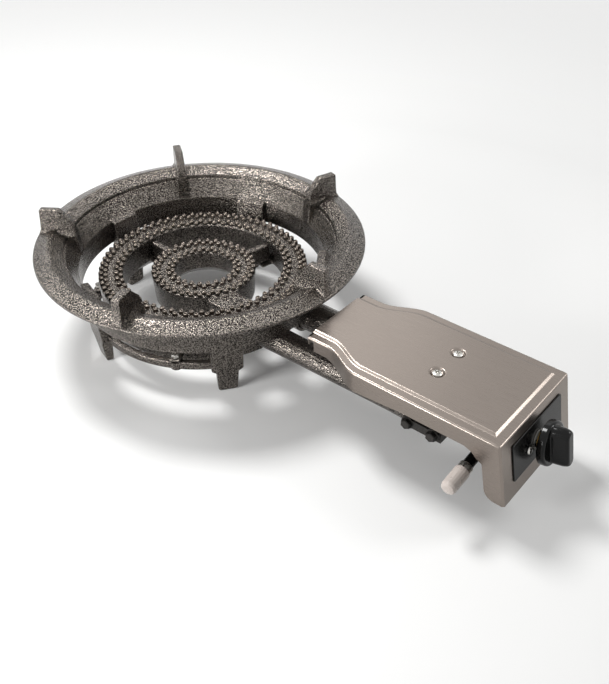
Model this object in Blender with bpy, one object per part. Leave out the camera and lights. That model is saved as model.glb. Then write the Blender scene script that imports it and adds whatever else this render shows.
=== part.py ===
"""Double-ring gas burner on a cast stand, with a boxed control valve.

Metres, +Z up. Everything hangs on the empty "stove", which stands on the floor under the centre
of the pan ring. The controls lie towards -Y, and the gas comes in from -X.
"""

from math import asin, cos, degrees, hypot, pi, radians, sin, sqrt

import bmesh
import bpy

# ---------------------------------------------------------------- sizes shared by several pieces
GAP = 0.0003
SHANK_GAP = 0.0003
SCREW_SIDES = 10
HOLE_SIDES = 10
SPOT_TURN = 0.13

# the outer gas ring sets the size of the stand around it
OUTER_RING_RADIUS = 0.1068
OUTER_RING_WIDTH = 0.0251
FLAME_GAP = 0.0172
DISH_WIDTH = 0.014
RIM_WIDTH = 0.027
LEG_CLEARANCE = 0.004
BOLT_REACH = 0.0067

# pan ring of the stand
THROAT_RADIUS = OUTER_RING_RADIUS + FLAME_GAP
GROOVE_RADIUS = THROAT_RADIUS + DISH_WIDTH
RIM_RADIUS = GROOVE_RADIUS + RIM_WIDTH
RIM_HEIGHT = 0.104
RIM_THICKNESS = 0.0055
RIM_CROWN = 0.0014
GROOVE_DEPTH = 0.0022
DISH_BOTTOM = 0.081
SKIRT_BOTTOM = 0.063
CASTING_WALL = 0.006
RING_SIDES = 60

# pan lugs and legs, both cast on the ring and spaced evenly
SPOKES = 5
LUG_TOP = 0.131
LUG_THICKNESS = 0.0085
LUG_ROOT_WIDTH = 0.013
LUG_TOP_INNER = THROAT_RADIUS + 0.0175
LUG_TOP_OUTER = RIM_RADIUS - 0.0045
LUG_KNEE_HEIGHT = 0.1165
LEG_WIDTH = 0.031
LEG_INNER_RADIUS = OUTER_RING_RADIUS + LEG_CLEARANCE
LEG_THICKNESS = 0.013
PAD_TOP_RADIUS = LEG_INNER_RADIUS + 0.0087
FOOT_WIDTH = 0.0215
FOOT_THICKNESS = 0.0072
FOOT_HEIGHT = 0.026
FOOT_CORNER = 0.0022

# open ring that ties the legs together, left out where the mixing tubes pass
TIE_RADIUS = LEG_INNER_RADIUS + 0.0067
TIE_WIDTH = 0.0065
TIE_BOTTOM = 0.027
TIE_HEIGHT = 0.008
TIE_BOSS_RADIUS = 0.0058
BURNER_BOLT_CIRCLE = OUTER_RING_RADIUS + BOLT_REACH
BURNER_BOLT_ANGLES = (54.0, 126.0, 210.0, 330.0)
BURNER_BOLT_RADIUS = 0.0022
BURNER_BOLT_HEAD = 0.0041
BURNER_BOLT_HEAD_HEIGHT = 0.003
BURNER_FOOT_THICKNESS = 0.004

# studded burner rings
OUTER_RING_TOP = 0.0695
OUTER_RING_HEEL = 0.042
OUTER_RING_KEEL = 0.0275
OUTER_RING_STUDS = 44
OUTER_STUD_BAND = 0.0086
INNER_RING_RADIUS = 0.0534
INNER_RING_WIDTH = 0.0237
INNER_RING_TOP = 0.0665
INNER_RING_HEEL = 0.047
INNER_RING_KEEL = 0.0375
INNER_RING_STUDS = 28
INNER_STUD_BAND = 0.0088
STUD_HEIGHT = 0.0034
STUD_TAPER = 0.0008
RING_DRAFT = 0.0016
ARM_ANGLES = (86.0, -12.0)
ARM_WIDTH = 0.0095
ARM_TOP_DROP = 0.001
LEDGE_HEIGHT = 0.0455
LEDGE_THICKNESS = 0.004
LEDGE_LENGTH = 0.012
LEDGE_WIDTH = 0.014
ARM_SCREW_RADIUS = 0.002
ARM_SCREW_HEAD = 0.004
ARM_SCREW_GRIP = 0.007

# mixing tubes, from the air mouth by the valve to the rings
TUBE_HEIGHT = 0.046
INNER_TUBE_X = -0.023
OUTER_TUBE_X = 0.0277
INNER_TUBE_RADIUS = 0.0136
OUTER_TUBE_RADIUS = 0.0155
INNER_MOUTH_RADIUS = 0.0136
OUTER_MOUTH_RADIUS = 0.0175
TUBE_WALL = 0.0028
TUBE_THROAT = 0.0018
MOUTH_Y = -0.288
MOUTH_LENGTH = 0.008
BELL_LENGTH = 0.022
INNER_TUBE_END = 0.0091 - INNER_RING_RADIUS
OUTER_TUBE_END = 0.0085 - OUTER_RING_RADIUS
TUBE_STRAIGHT = 0.052
SOCKET_WALL = 0.0035
CHANNEL_TOP = 0.0645
CHANNEL_WIDTH = 0.030
CHANNEL_ROOT = INNER_RING_RADIUS - 0.0114
OUTER_SOCKET_Y = -0.0097 - OUTER_RING_RADIUS
INNER_SOCKET_Y = -0.0086 - INNER_RING_RADIUS
TUBE_SIDES = 20

# air shutters and injectors
SHUTTER_THICKNESS = 0.0014
SHUTTER_MARGIN = 0.0006
WINDOW_COUNT = 3
WINDOW_RIM = 0.0022
INJECTOR_NECK = 0.004
INJECTOR_COLLAR = 0.0065
INJECTOR_NOSE = 0.006
INJECTOR_THREAD = 0.0047
INJECTOR_DEPTH = 0.008
INJECTOR_BORE = 0.0012

# valve, on an axis square to the sloping front panel
MANIFOLD_Y = -0.300
MANIFOLD_DEPTH = 0.014
MANIFOLD_HALF_HEIGHT = 0.008
BARREL_RADIUS = 0.014
BARREL_SIDES = 24
BARREL_LENGTH = 0.055
BARREL_NECK = 0.0078
BARREL_NECK_END = 0.072
VALVE_BORE = 0.0083
PLUG_FRONT = 0.028
PLUG_LENGTH = 0.0217
SPINDLE_RADIUS = 0.003
SPINDLE_COLLAR = 0.0055
SPINDLE_COLLAR_THICKNESS = 0.002
SPINDLE_IN_PLUG = 0.010
SPINDLE_IN_KNOB = 0.0125
BONNET_THICKNESS = 0.0035
BONNET_SPIGOT = 0.004
BONNET_NECK = 0.007
NECK_REACH = 0.0036
PUSH_TRAVEL = 0.004
SPRING_WIRE = 0.0005
SPRING_TURNS = 5

# straps that join the valve to the tube mouths
STRAP_THICKNESS = 0.003
STRAP_EYE = 0.0063
STRAP_BAR = 0.0042
STRAP_BOLT_RADIUS = 0.0025
STRAP_BOLT_HEAD = 0.005
STRAP_BOLT_HEAD_HEIGHT = 0.0042
STRAP_BOLT_GRIPS = {"front": 0.0095, "back": 0.0034}
STRAP_FRONT_Y = -0.307
STRAP_BACK_Y = -0.282
MANIFOLD_OVERHANG = 0.001

# gas inlet
INLET_DISTANCE = 0.033
INLET_TILT = radians(6.5)
INLET_RISE = 0.0042
INLET_BOSS_RADIUS = 0.008
INLET_BOSS_END = 0.027
NIPPLE_RADIUS = 0.005
NIPPLE_COLLAR = 0.0075
NIPPLE_COLLAR_LENGTH = 0.006
NIPPLE_END = 0.084
NIPPLE_BORE = 0.0024
NIPPLE_THREAD = 0.010
FERRULE_START = 0.0565
FERRULE_LENGTH = 0.006
FERRULE_WALL = 0.001
CAP_LENGTH = 0.0235
CAP_WALL = 0.0015

# sheet steel cover, seen from above a bottle shape with a raised field
SHEET = 0.001
COVER_TOP = 0.0868
COVER_NECK_Y = -0.173
COVER_FRONT_Y = -0.3755
NECK_HALF_WIDTH = 0.043
COVER_HALF_WIDTH = 0.058
SHOULDER_START = 0.021
SHOULDER_LENGTH = 0.042
SHOULDER_STEPS = 6
FIELD_HEIGHT = 0.0018
FIELD_MARGIN = 0.0085
FIELD_SLOPE = 0.0025
EDGE_ROUND = 0.0012
LIP_DEPTH = 0.009
RELIEF_DEPTH = 0.0022
NECK_FLANGE_START = 0.007
NECK_FLANGE_DEPTH = 0.0132
SHOULDER_FLANGE_DEPTH = 0.0198
SIDE_FLANGE_DEPTH = 0.016
PANEL_DEPTH = 0.0592
PANEL_BATTER = 0.012
CHEEK_WIDTH = 0.018
CHEEK_CORNER = 0.0085
DIMPLE_RADIUS = 0.0065
DIMPLE_DEPTH = 0.0022
COVER_SCREW_Y = -0.290
COVER_SCREW_X = (-0.0134, 0.0200)
COVER_SCREW_RADIUS = 0.002
COVER_SCREW_HEAD = 0.0046
COVER_SCREW_HEAD_HEIGHT = 0.0024
COVER_SCREW_GRIP = 0.005

# cover bracket that stands on the valve
BRACKET_THICKNESS = 0.0015
BRACKET_SIDE_MARGIN = 0.0105
BRACKET_TAB_END = -0.282
BRACKET_SCREW_RADIUS = 0.0016
BRACKET_SCREW_HEAD = 0.0034
BRACKET_SCREW_HEAD_HEIGHT = 0.002
BRACKET_SCREW_GRIP = 0.006

# black front plate and its screws
PLATE_HALF_WIDTH = 0.0413
PLATE_HEIGHT = 0.036
PLATE_RISE = 0.002
PLATE_THICKNESS = 0.0008
PLATE_CORNER = 0.0015
PANEL_SCREW_SPACING = 0.034
PANEL_SCREW_RADIUS = 0.0019
PANEL_SCREW_HEAD = 0.0032
PANEL_SCREW_HEAD_HEIGHT = 0.0021
EAR_RADIUS = 0.0055
EAR_DEPTH = 0.006
EAR_STEP = 0.0002
NUT_RADIUS = 0.0095
NUT_THICKNESS = 0.0018

# knob
AXIS_DOWN_PANEL = 0.030
KNOB_REAR = 0.0084
KNOB_RADIUS = 0.0195
KNOB_SKIRT = 0.0068
KNOB_WALL = 0.002
KNOB_HUB = 0.007
KNOB_SCOOP = 0.0045
GRIP_HALF_WIDTH = 0.0065
GRIP_HALF_LENGTH = 0.0185
GRIP_HEIGHT = 0.0145
GRIP_CROWN = 0.0036

# ---------------------------------------------------------------- places worked out from them
TIE_TOP = TIE_BOTTOM + TIE_HEIGHT
OUTER_RING_INNER = OUTER_RING_RADIUS - OUTER_RING_WIDTH
INNER_RING_INNER = INNER_RING_RADIUS - INNER_RING_WIDTH
PANEL_LENGTH = hypot(PANEL_DEPTH, PANEL_BATTER)
PANEL_TILT = asin(PANEL_BATTER / PANEL_LENGTH)
AXIS_Y = COVER_FRONT_Y - AXIS_DOWN_PANEL * sin(PANEL_TILT)
AXIS_Z = COVER_TOP - AXIS_DOWN_PANEL * cos(PANEL_TILT)
KNOB_FRONT = KNOB_REAR + KNOB_SKIRT + GRIP_HEIGHT
FRONT_REACH = -AXIS_Y + KNOB_FRONT * cos(PANEL_TILT) + (GRIP_HALF_LENGTH - GRIP_CROWN) * sin(PANEL_TILT)
RING_Y = (FRONT_REACH - RIM_RADIUS) / 2
BONNET_FRONT = -SHEET - GAP
BARREL_FRONT = BONNET_FRONT - BONNET_THICKNESS - GAP
MANIFOLD_LEFT = INNER_TUBE_X - INNER_MOUTH_RADIUS - MANIFOLD_OVERHANG
MANIFOLD_RIGHT = OUTER_TUBE_X + OUTER_MOUTH_RADIUS + MANIFOLD_OVERHANG
CAP_RADIUS = NIPPLE_RADIUS + GAP + CAP_WALL


# ---------------------------------------------------------------- making and placing meshes
def clear_scene():
    for old in list(bpy.data.objects):
        bpy.data.objects.remove(old, do_unlink=True)


def finish_material(name, colour, metallic, roughness):
    """A Principled material with one colour, given as linear red, green and blue."""
    material = bpy.data.materials.new(name)
    material.use_nodes = True
    shader = material.node_tree.nodes["Principled BSDF"]
    shader.inputs["Base Color"].default_value = (*colour, 1.0)
    shader.inputs["Metallic"].default_value = metallic
    shader.inputs["Roughness"].default_value = roughness
    return material


def empty_at(name, location, rotation=(0.0, 0.0, 0.0), parent=None):
    """An empty whose children are placed in its own axes."""
    empty = bpy.data.objects.new(name, None)
    bpy.context.scene.collection.objects.link(empty)
    empty.location = location
    empty.rotation_euler = rotation
    empty.parent = parent
    return empty


def piece(name, shape, material, parent, location=(0.0, 0.0, 0.0), turn=0.0):
    """A visible piece made from a bmesh, shaded smooth with its real edges kept."""
    bmesh.ops.recalc_face_normals(shape, faces=shape.faces)
    mesh = bpy.data.meshes.new(name)
    shape.to_mesh(mesh)
    shape.free()
    mesh.materials.append(material)
    mesh.shade_smooth()
    mesh.set_sharp_from_angle(angle=radians(35.0))
    made = bpy.data.objects.new(name, mesh)
    bpy.context.scene.collection.objects.link(made)
    made.parent = parent
    made.location = location
    made.rotation_euler = (0.0, 0.0, turn)
    return made


def helper(name, shape, parent, location=(0.0, 0.0, 0.0), turn=0.0):
    """A solid that only adds to or cuts another one."""
    made = piece(name, shape, MATERIALS["casting"], parent, location, turn)
    made.hide_render = True
    made.display_type = "WIRE"
    return made


def boolean(target, other, operation):
    modifier = target.modifiers.new(other.name, "BOOLEAN")
    modifier.operation = operation
    modifier.object = other
    modifier.solver = "EXACT"


def add(target, other):
    boolean(target, other, "UNION")


def cut(target, *others):
    for other in others:
        boolean(target, other, "DIFFERENCE")


# ---------------------------------------------------------------- basic shapes
def ring_points(radius, height, sides, centre=(0.0, 0.0), first=0.0):
    step = 2 * pi / sides
    return [
        (centre[0] + radius * cos(first + step * k), centre[1] + radius * sin(first + step * k), height)
        for k in range(sides)
    ]


def turned(profile, sides, first=0.0):
    """A closed (radius, height) outline turned about Z. A radius of 0 is a point on the axis."""
    shape = bmesh.new()
    rings = []
    for radius, height in profile:
        if radius < 1e-9:
            rings.append([shape.verts.new((0.0, 0.0, height))])
        else:
            rings.append([shape.verts.new(p) for p in ring_points(radius, height, sides, first=first)])
    for here, there in zip(rings, rings[1:] + rings[:1]):
        if len(here) == 1 and len(there) == 1:
            continue
        for k in range(sides):
            after = (k + 1) % sides
            corners = [here[k % len(here)], here[after % len(here)]]
            corners += [there[after % len(there)], there[k % len(there)]]
            shape.faces.new(list(dict.fromkeys(corners)))
    return shape


def lofted(sections, shape=None):
    """Skin over outlines that have the same number of points, closed at both ends."""
    shape = shape or bmesh.new()
    loops = [[shape.verts.new(p) for p in section] for section in sections]
    count = len(loops[0])
    for here, there in zip(loops, loops[1:]):
        for k in range(count):
            after = (k + 1) % count
            shape.faces.new((here[k], here[after], there[after], there[k]))
    shape.faces.new(loops[0])
    shape.faces.new(loops[-1])
    return shape


def cylinder(radius, low, high, sides=16, centre=(0.0, 0.0), first=0.0):
    return lofted([ring_points(radius, z, sides, centre, first) for z in (low, high)])


def block(low, high):
    """A box between two corners."""
    corners = ((low[0], low[1]), (high[0], low[1]), (high[0], high[1]), (low[0], high[1]))
    return lofted([[(x, y, z) for x, y in corners] for z in (low[2], high[2])])


def radial_section(angle, inner, outer, half_width, height):
    """A level rectangle on a spoke, between two radii."""
    along, across = (cos(angle), sin(angle)), (-sin(angle), cos(angle))
    corners = ((inner, -half_width), (outer, -half_width), (outer, half_width), (inner, half_width))
    return [(r * along[0] + w * across[0], r * along[1] + w * across[1], height) for r, w in corners]


def spokes(angles, rows):
    """The same stack of level rectangles on each spoke: rows are (height, inner, outer, width)."""
    shape = bmesh.new()
    for angle in angles:
        lofted(
            [radial_section(radians(angle), inner, outer, width / 2, z) for z, inner, outer, width in rows],
            shape,
        )
    return shape


def drilled_spots(angles, circle, radius, low, high, sides=HOLE_SIDES):
    """Round bars on a circle, for bosses and for holes."""
    shape = bmesh.new()
    for angle in angles:
        centre = (circle * cos(radians(angle)), circle * sin(radians(angle)))
        turn = radians(angle) + SPOT_TURN
        lofted([ring_points(radius, z, sides, centre, turn) for z in (low, high)], shape)
    return shape


def cheese_head(radius, height, shank_radius, length):
    """A screw standing on z = 0: the head above, the plain shank below."""
    return turned(
        [
            (0.0, height),
            (radius * 0.75, height),
            (radius, height * 0.5),
            (radius, 0.0),
            (shank_radius, 0.0),
            (shank_radius, -length),
            (0.0, -length),
        ],
        SCREW_SIDES,
    )


def hex_head(radius, height, shank_radius, length):
    """A hexagon bolt standing on z = 0."""
    head = ring_points(radius, 0.0, 6)
    top = ring_points(radius, height * 0.8, 6)
    crown = ring_points(radius * 0.86, height, 6)
    shank = ring_points(shank_radius, 0.0, 12)
    shape = lofted([head, top, crown])
    floor = [face for face in shape.faces if all(abs(v.co.z) < 1e-9 for v in face.verts)]
    bmesh.ops.delete(shape, geom=floor, context="FACES_ONLY")
    base = [v for v in shape.verts if abs(v.co.z) < 1e-9]
    upper = [shape.verts.new(p) for p in shank]
    lower = [shape.verts.new((x, y, -length)) for x, y, _ in shank]
    for k in range(12):
        after = (k + 1) % 12
        shape.faces.new((upper[k], upper[after], lower[after], lower[k]))
    shape.faces.new(lower)
    for k in range(6):
        after = (k + 1) % 6
        first, middle, last = 2 * k, 2 * k + 1, (2 * k + 2) % 12
        shape.faces.new((base[k], upper[first], upper[middle]))
        shape.faces.new((base[k], upper[middle], base[after]))
        shape.faces.new((base[after], upper[middle], upper[last]))
    return shape


# ---------------------------------------------------------------- the stand
def make_stand(stove, casting):
    """Pan ring, five lugs, five legs and the open tie ring: one iron casting."""
    under = RIM_HEIGHT - RIM_THICKNESS
    wall_radius = THROAT_RADIUS + CASTING_WALL
    ring = turned(
        [
            (RIM_RADIUS, under + RIM_CROWN),
            (RIM_RADIUS, RIM_HEIGHT - RIM_CROWN),
            ((RIM_RADIUS + GROOVE_RADIUS) / 2, RIM_HEIGHT + RIM_CROWN),
            (GROOVE_RADIUS + RIM_CROWN, RIM_HEIGHT),
            (GROOVE_RADIUS - GROOVE_DEPTH, RIM_HEIGHT - GROOVE_DEPTH),
            (THROAT_RADIUS, DISH_BOTTOM),
            (THROAT_RADIUS, SKIRT_BOTTOM),
            (wall_radius, SKIRT_BOTTOM),
            (wall_radius, DISH_BOTTOM - CASTING_WALL / 4),
            (GROOVE_RADIUS + CASTING_WALL, under),
            (RIM_RADIUS - RIM_CROWN, under),
        ],
        RING_SIDES,
    )
    stand = piece("stand_frame", ring, casting, stove)

    lug_angles = [54.0 + 360.0 * k / SPOKES for k in range(SPOKES)]
    seat = RIM_HEIGHT - RIM_THICKNESS / 2
    root = RIM_HEIGHT + RIM_CROWN
    knee = THROAT_RADIUS + 0.0038
    lugs = spokes(
        lug_angles,
        [
            (DISH_BOTTOM + 0.001, THROAT_RADIUS + 0.0004, THROAT_RADIUS + CASTING_WALL / 2, LUG_ROOT_WIDTH),
            (seat, THROAT_RADIUS + 0.0018, LUG_TOP_OUTER + 0.002, LUG_ROOT_WIDTH),
            (root, THROAT_RADIUS + 0.0022, LUG_TOP_OUTER + 0.003, LUG_ROOT_WIDTH),
            (root + 0.0035, THROAT_RADIUS + 0.0027, LUG_TOP_OUTER + 0.0015, LUG_THICKNESS + 0.0008),
            (LUG_KNEE_HEIGHT, knee, LUG_TOP_OUTER + 0.0008, LUG_THICKNESS + 0.0003),
            (LUG_TOP - 0.0012, LUG_TOP_INNER - 0.001, LUG_TOP_OUTER, LUG_THICKNESS),
            (LUG_TOP, LUG_TOP_INNER + 0.0006, LUG_TOP_OUTER - 0.001, LUG_THICKNESS - 0.0018),
        ],
    )
    add(stand, helper("lugs", lugs, stove))

    leg_angles = [18.0 + 360.0 * k / SPOKES for k in range(SPOKES)]
    leg_outer = LEG_INNER_RADIUS + LEG_THICKNESS
    foot_outer = LEG_INNER_RADIUS + 0.0012 + FOOT_THICKNESS
    legs = spokes(
        leg_angles,
        [
            (0.0, LEG_INNER_RADIUS + 0.0022, foot_outer - 0.001, FOOT_WIDTH - 0.0024 - 2 * FOOT_CORNER),
            (FOOT_CORNER, LEG_INNER_RADIUS + 0.0012, foot_outer, FOOT_WIDTH - 0.0024),
            (FOOT_HEIGHT - 0.001, LEG_INNER_RADIUS, leg_outer - 0.0012, FOOT_WIDTH),
            (FOOT_HEIGHT + FOOT_CORNER, LEG_INNER_RADIUS, leg_outer - 0.001, LEG_WIDTH),
            (SKIRT_BOTTOM, LEG_INNER_RADIUS + 0.0012, wall_radius - 0.0045, LEG_WIDTH + 0.0004),
            (DISH_BOTTOM + 0.0015, PAD_TOP_RADIUS, wall_radius + 0.0015, LEG_WIDTH + 0.0006),
            (DISH_BOTTOM + 0.0030, PAD_TOP_RADIUS + 0.0058, wall_radius + 0.0020, LEG_WIDTH - 0.0006),
            (under - 0.008, GROOVE_RADIUS - 0.0035, GROOVE_RADIUS + 0.0005, LEG_WIDTH - 0.004),
        ],
    )
    add(stand, helper("legs", legs, stove))

    first, last = leg_angles[-1] - 360.0, leg_angles[3]
    steps = 30
    tie = []
    for k in range(steps + 1):
        angle = radians(first + (last - first) * k / steps)
        section = []
        for radius, height in (
            (TIE_RADIUS, TIE_BOTTOM),
            (TIE_RADIUS, TIE_TOP),
            (TIE_RADIUS - TIE_WIDTH, TIE_TOP),
            (TIE_RADIUS - TIE_WIDTH, TIE_BOTTOM),
        ):
            section.append((radius * cos(angle), radius * sin(angle), height))
        tie.append(section)
    add(stand, helper("tie_ring", lofted(tie), stove))

    bosses = drilled_spots(BURNER_BOLT_ANGLES, BURNER_BOLT_CIRCLE, TIE_BOSS_RADIUS, TIE_BOTTOM, TIE_TOP, 16)
    add(stand, helper("tie_bosses", bosses, stove))
    holes = drilled_spots(
        BURNER_BOLT_ANGLES,
        BURNER_BOLT_CIRCLE,
        BURNER_BOLT_RADIUS + SHANK_GAP,
        TIE_BOTTOM - 0.002,
        TIE_TOP + 0.002,
    )
    cut(stand, helper("tie_holes", holes, stove))


# ---------------------------------------------------------------- studded rings
def studded_ring(inner, outer, keel, heel, top, studs, bands):
    """A gas ring with rows of tapered studs on top, and an underside that rises towards its hole.

    The outer wall goes down to the keel and the inner wall to the heel. Bands are (outer radius,
    inner radius, rows of studs).
    """
    radii = [outer]
    rows = []
    for band_outer, band_inner, count in bands:
        if band_outer < radii[-1] - 1e-6:
            rows.append(None)
            radii.append(band_outer)
        for k in range(count):
            rows.append(len(rows) % 2)
            radii.append(band_outer - (band_outer - band_inner) * (k + 1) / count)
    if inner < radii[-1] - 1e-6:
        rows.append(None)
        radii.append(inner)

    columns = 2 * studs
    shape = bmesh.new()
    grid = [[shape.verts.new(p) for p in ring_points(r, top, columns)] for r in radii]
    under = [(outer - RING_DRAFT, keel), (inner + RING_DRAFT + heel - keel, keel), (inner + RING_DRAFT, heel)]
    belly = [[shape.verts.new(p) for p in ring_points(r, z, columns)] for r, z in under]
    loops = [belly[0]] + grid + [belly[2], belly[1]]
    stud_faces = []
    for level in range(len(loops)):
        here, there = loops[level], loops[(level + 1) % len(loops)]
        for k in range(columns):
            after = (k + 1) % columns
            face = shape.faces.new((here[k], here[after], there[after], there[k]))
            row = level - 1
            if 0 <= row < len(rows) and rows[row] is not None and (k + rows[row]) % 2 == 0:
                stud_faces.append(face)
    bmesh.ops.recalc_face_normals(shape, faces=shape.faces)
    bmesh.ops.inset_individual(shape, faces=stud_faces, thickness=STUD_TAPER, depth=STUD_HEIGHT)
    return shape


def make_outer_burner(stove, casting, tubes):
    """Outer ring with its four feet, the tube socket, the tunnel for the inner tube and two ledges."""
    inner = OUTER_RING_INNER
    ring = studded_ring(
        inner,
        OUTER_RING_RADIUS,
        OUTER_RING_KEEL,
        OUTER_RING_HEEL,
        OUTER_RING_TOP,
        OUTER_RING_STUDS,
        [
            (OUTER_RING_RADIUS, OUTER_RING_RADIUS - OUTER_STUD_BAND, 2),
            (inner + OUTER_STUD_BAND, inner, 2),
        ],
    )
    burner = piece("outer_burner", ring, casting, stove)

    foot_low = TIE_TOP + GAP
    foot_top = foot_low + BURNER_FOOT_THICKNESS
    foot_reach = BURNER_BOLT_CIRCLE + TIE_BOSS_RADIUS - 0.001
    foot_root = OUTER_RING_RADIUS - 0.006
    foot_width = 2 * TIE_BOSS_RADIUS
    feet = spokes(
        BURNER_BOLT_ANGLES,
        [(foot_low, foot_root, foot_reach, foot_width), (foot_top, foot_root, foot_reach, foot_width)],
    )
    add(burner, helper("burner_feet", feet, stove))

    ledges = spokes(
        ARM_ANGLES,
        [
            (LEDGE_HEIGHT - LEDGE_THICKNESS, inner - LEDGE_LENGTH, inner + 0.006, LEDGE_WIDTH),
            (LEDGE_HEIGHT, inner - LEDGE_LENGTH, inner + 0.006, LEDGE_WIDTH),
        ],
    )
    add(burner, helper("arm_ledges", ledges, stove))

    socket_radius = OUTER_TUBE_RADIUS + SOCKET_WALL
    socket = cylinder(socket_radius, OUTER_SOCKET_Y, -OUTER_RING_INNER * 0.98, TUBE_SIDES)
    add(burner, helper("outer_socket", socket, tubes["outer"]))

    socket_bore = cylinder(
        OUTER_TUBE_RADIUS + GAP,
        OUTER_SOCKET_Y - 0.002,
        OUTER_TUBE_END + GAP,
        TUBE_SIDES,
    )
    tunnel_bore = cylinder(
        INNER_TUBE_RADIUS + GAP,
        -OUTER_RING_RADIUS - 0.006,
        -OUTER_RING_INNER + 0.02,
        TUBE_SIDES,
    )
    bolt_holes = drilled_spots(
        BURNER_BOLT_ANGLES,
        BURNER_BOLT_CIRCLE,
        BURNER_BOLT_RADIUS + SHANK_GAP,
        foot_low - 0.002,
        foot_top + 0.002,
    )
    screw_holes = drilled_spots(
        ARM_ANGLES,
        inner - LEDGE_LENGTH / 2,
        ARM_SCREW_RADIUS + SHANK_GAP,
        LEDGE_HEIGHT - LEDGE_THICKNESS - 0.002,
        LEDGE_HEIGHT + 0.002,
    )
    cut(
        burner,
        helper("outer_socket_bore", socket_bore, tubes["outer"]),
        helper("tunnel_bore", tunnel_bore, tubes["inner"]),
        helper("foot_holes", bolt_holes, stove),
        helper("ledge_holes", screw_holes, stove),
    )


def make_inner_burner(stove, casting, tubes):
    """Inner ring on two arms, with the socket of its own tube."""
    inner = INNER_RING_INNER
    ring = studded_ring(
        inner,
        INNER_RING_RADIUS,
        INNER_RING_KEEL,
        INNER_RING_HEEL,
        INNER_RING_TOP,
        INNER_RING_STUDS,
        [
            (INNER_RING_RADIUS, INNER_RING_RADIUS - INNER_STUD_BAND, 2),
            (inner + INNER_STUD_BAND / 2, inner, 1),
        ],
    )
    burner = piece("inner_burner", ring, casting, stove)

    arm_end = OUTER_RING_INNER - GAP
    arm_top = INNER_RING_TOP - ARM_TOP_DROP
    arms = spokes(
        ARM_ANGLES,
        [
            (LEDGE_HEIGHT + GAP, INNER_RING_RADIUS - 0.006, arm_end, ARM_WIDTH),
            (arm_top - 0.001, INNER_RING_RADIUS - 0.006, arm_end, ARM_WIDTH - 0.001),
            (arm_top, INNER_RING_RADIUS - 0.006, arm_end - 0.001, ARM_WIDTH - 0.003),
        ],
    )
    add(burner, helper("arms", arms, stove))

    socket_radius = INNER_TUBE_RADIUS + SOCKET_WALL
    back = -sqrt(INNER_RING_RADIUS**2 - INNER_TUBE_X**2) + 0.013
    socket = cylinder(socket_radius, INNER_SOCKET_Y, back, TUBE_SIDES)
    add(burner, helper("inner_socket", socket, tubes["inner"]))

    # A flat-topped channel carries the gas on from the tube, as far as the outer ring's inner wall.
    reach = OUTER_RING_INNER - GAP
    edges = [INNER_TUBE_X + CHANNEL_WIDTH * (k / 4 - 0.5) for k in range(5)]
    channel = []
    for height, slope in ((TUBE_HEIGHT - 0.004, 0.0), (CHANNEL_TOP - 0.002, 0.0), (CHANNEL_TOP, 0.0025)):
        middle = [(INNER_TUBE_X + (x - INNER_TUBE_X) * (1 - slope / CHANNEL_WIDTH * 2)) for x in edges]
        front = [(x, -sqrt(reach**2 - x**2), height) for x in middle]
        channel.append(front + [(x, -CHANNEL_ROOT, height) for x in (middle[-1], middle[0])])
    add(burner, helper("gas_channel", lofted(channel), stove))

    bore = cylinder(INNER_TUBE_RADIUS + GAP, -OUTER_RING_INNER - 0.002, INNER_TUBE_END + GAP, TUBE_SIDES)
    holes = drilled_spots(
        ARM_ANGLES,
        OUTER_RING_INNER - LEDGE_LENGTH / 2,
        ARM_SCREW_RADIUS + SHANK_GAP,
        LEDGE_HEIGHT - 0.002,
        LEDGE_HEIGHT + ARM_SCREW_GRIP + 0.001,
    )
    cut(
        burner,
        helper("inner_socket_bore", bore, tubes["inner"]),
        helper("arm_holes", holes, stove),
    )


def make_burner_fasteners(stove, steel):
    """Four bolts through the burner feet, and two screws up through the ledges."""
    seat = TIE_TOP + GAP + BURNER_FOOT_THICKNESS + GAP
    for number, angle in enumerate(BURNER_BOLT_ANGLES, 1):
        place = (BURNER_BOLT_CIRCLE * cos(radians(angle)), BURNER_BOLT_CIRCLE * sin(radians(angle)), seat)
        bolt = hex_head(
            BURNER_BOLT_HEAD, BURNER_BOLT_HEAD_HEIGHT, BURNER_BOLT_RADIUS, seat - TIE_BOTTOM - 0.001
        )
        piece(f"burner_bolt_{number}", bolt, steel, stove, place, radians(angle))

    below = LEDGE_HEIGHT - LEDGE_THICKNESS - GAP
    circle = OUTER_RING_INNER - LEDGE_LENGTH / 2
    for number, angle in enumerate(ARM_ANGLES, 1):
        place = (circle * cos(radians(angle)), circle * sin(radians(angle)), below)
        upside_down = empty_at(f"arm_screw_axis_{number}", place, (pi, 0.0, 0.0), stove)
        length = LEDGE_THICKNESS + GAP + ARM_SCREW_GRIP
        screw = cheese_head(ARM_SCREW_HEAD, 0.003, ARM_SCREW_RADIUS, length)
        piece(f"arm_screw_{number}", screw, steel, upside_down)


# ---------------------------------------------------------------- mixing tubes, shutters, injectors
def window_spots(mouth_radius):
    """Radius of the circle that the air windows lie on, and their own radius."""
    free = mouth_radius - TUBE_WALL - INJECTOR_NECK
    return INJECTOR_NECK + free * 0.54, free / 2 - WINDOW_RIM * 0.45


def window_angles():
    return [90.0 + 360.0 * k / WINDOW_COUNT for k in range(WINDOW_COUNT)]


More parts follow.
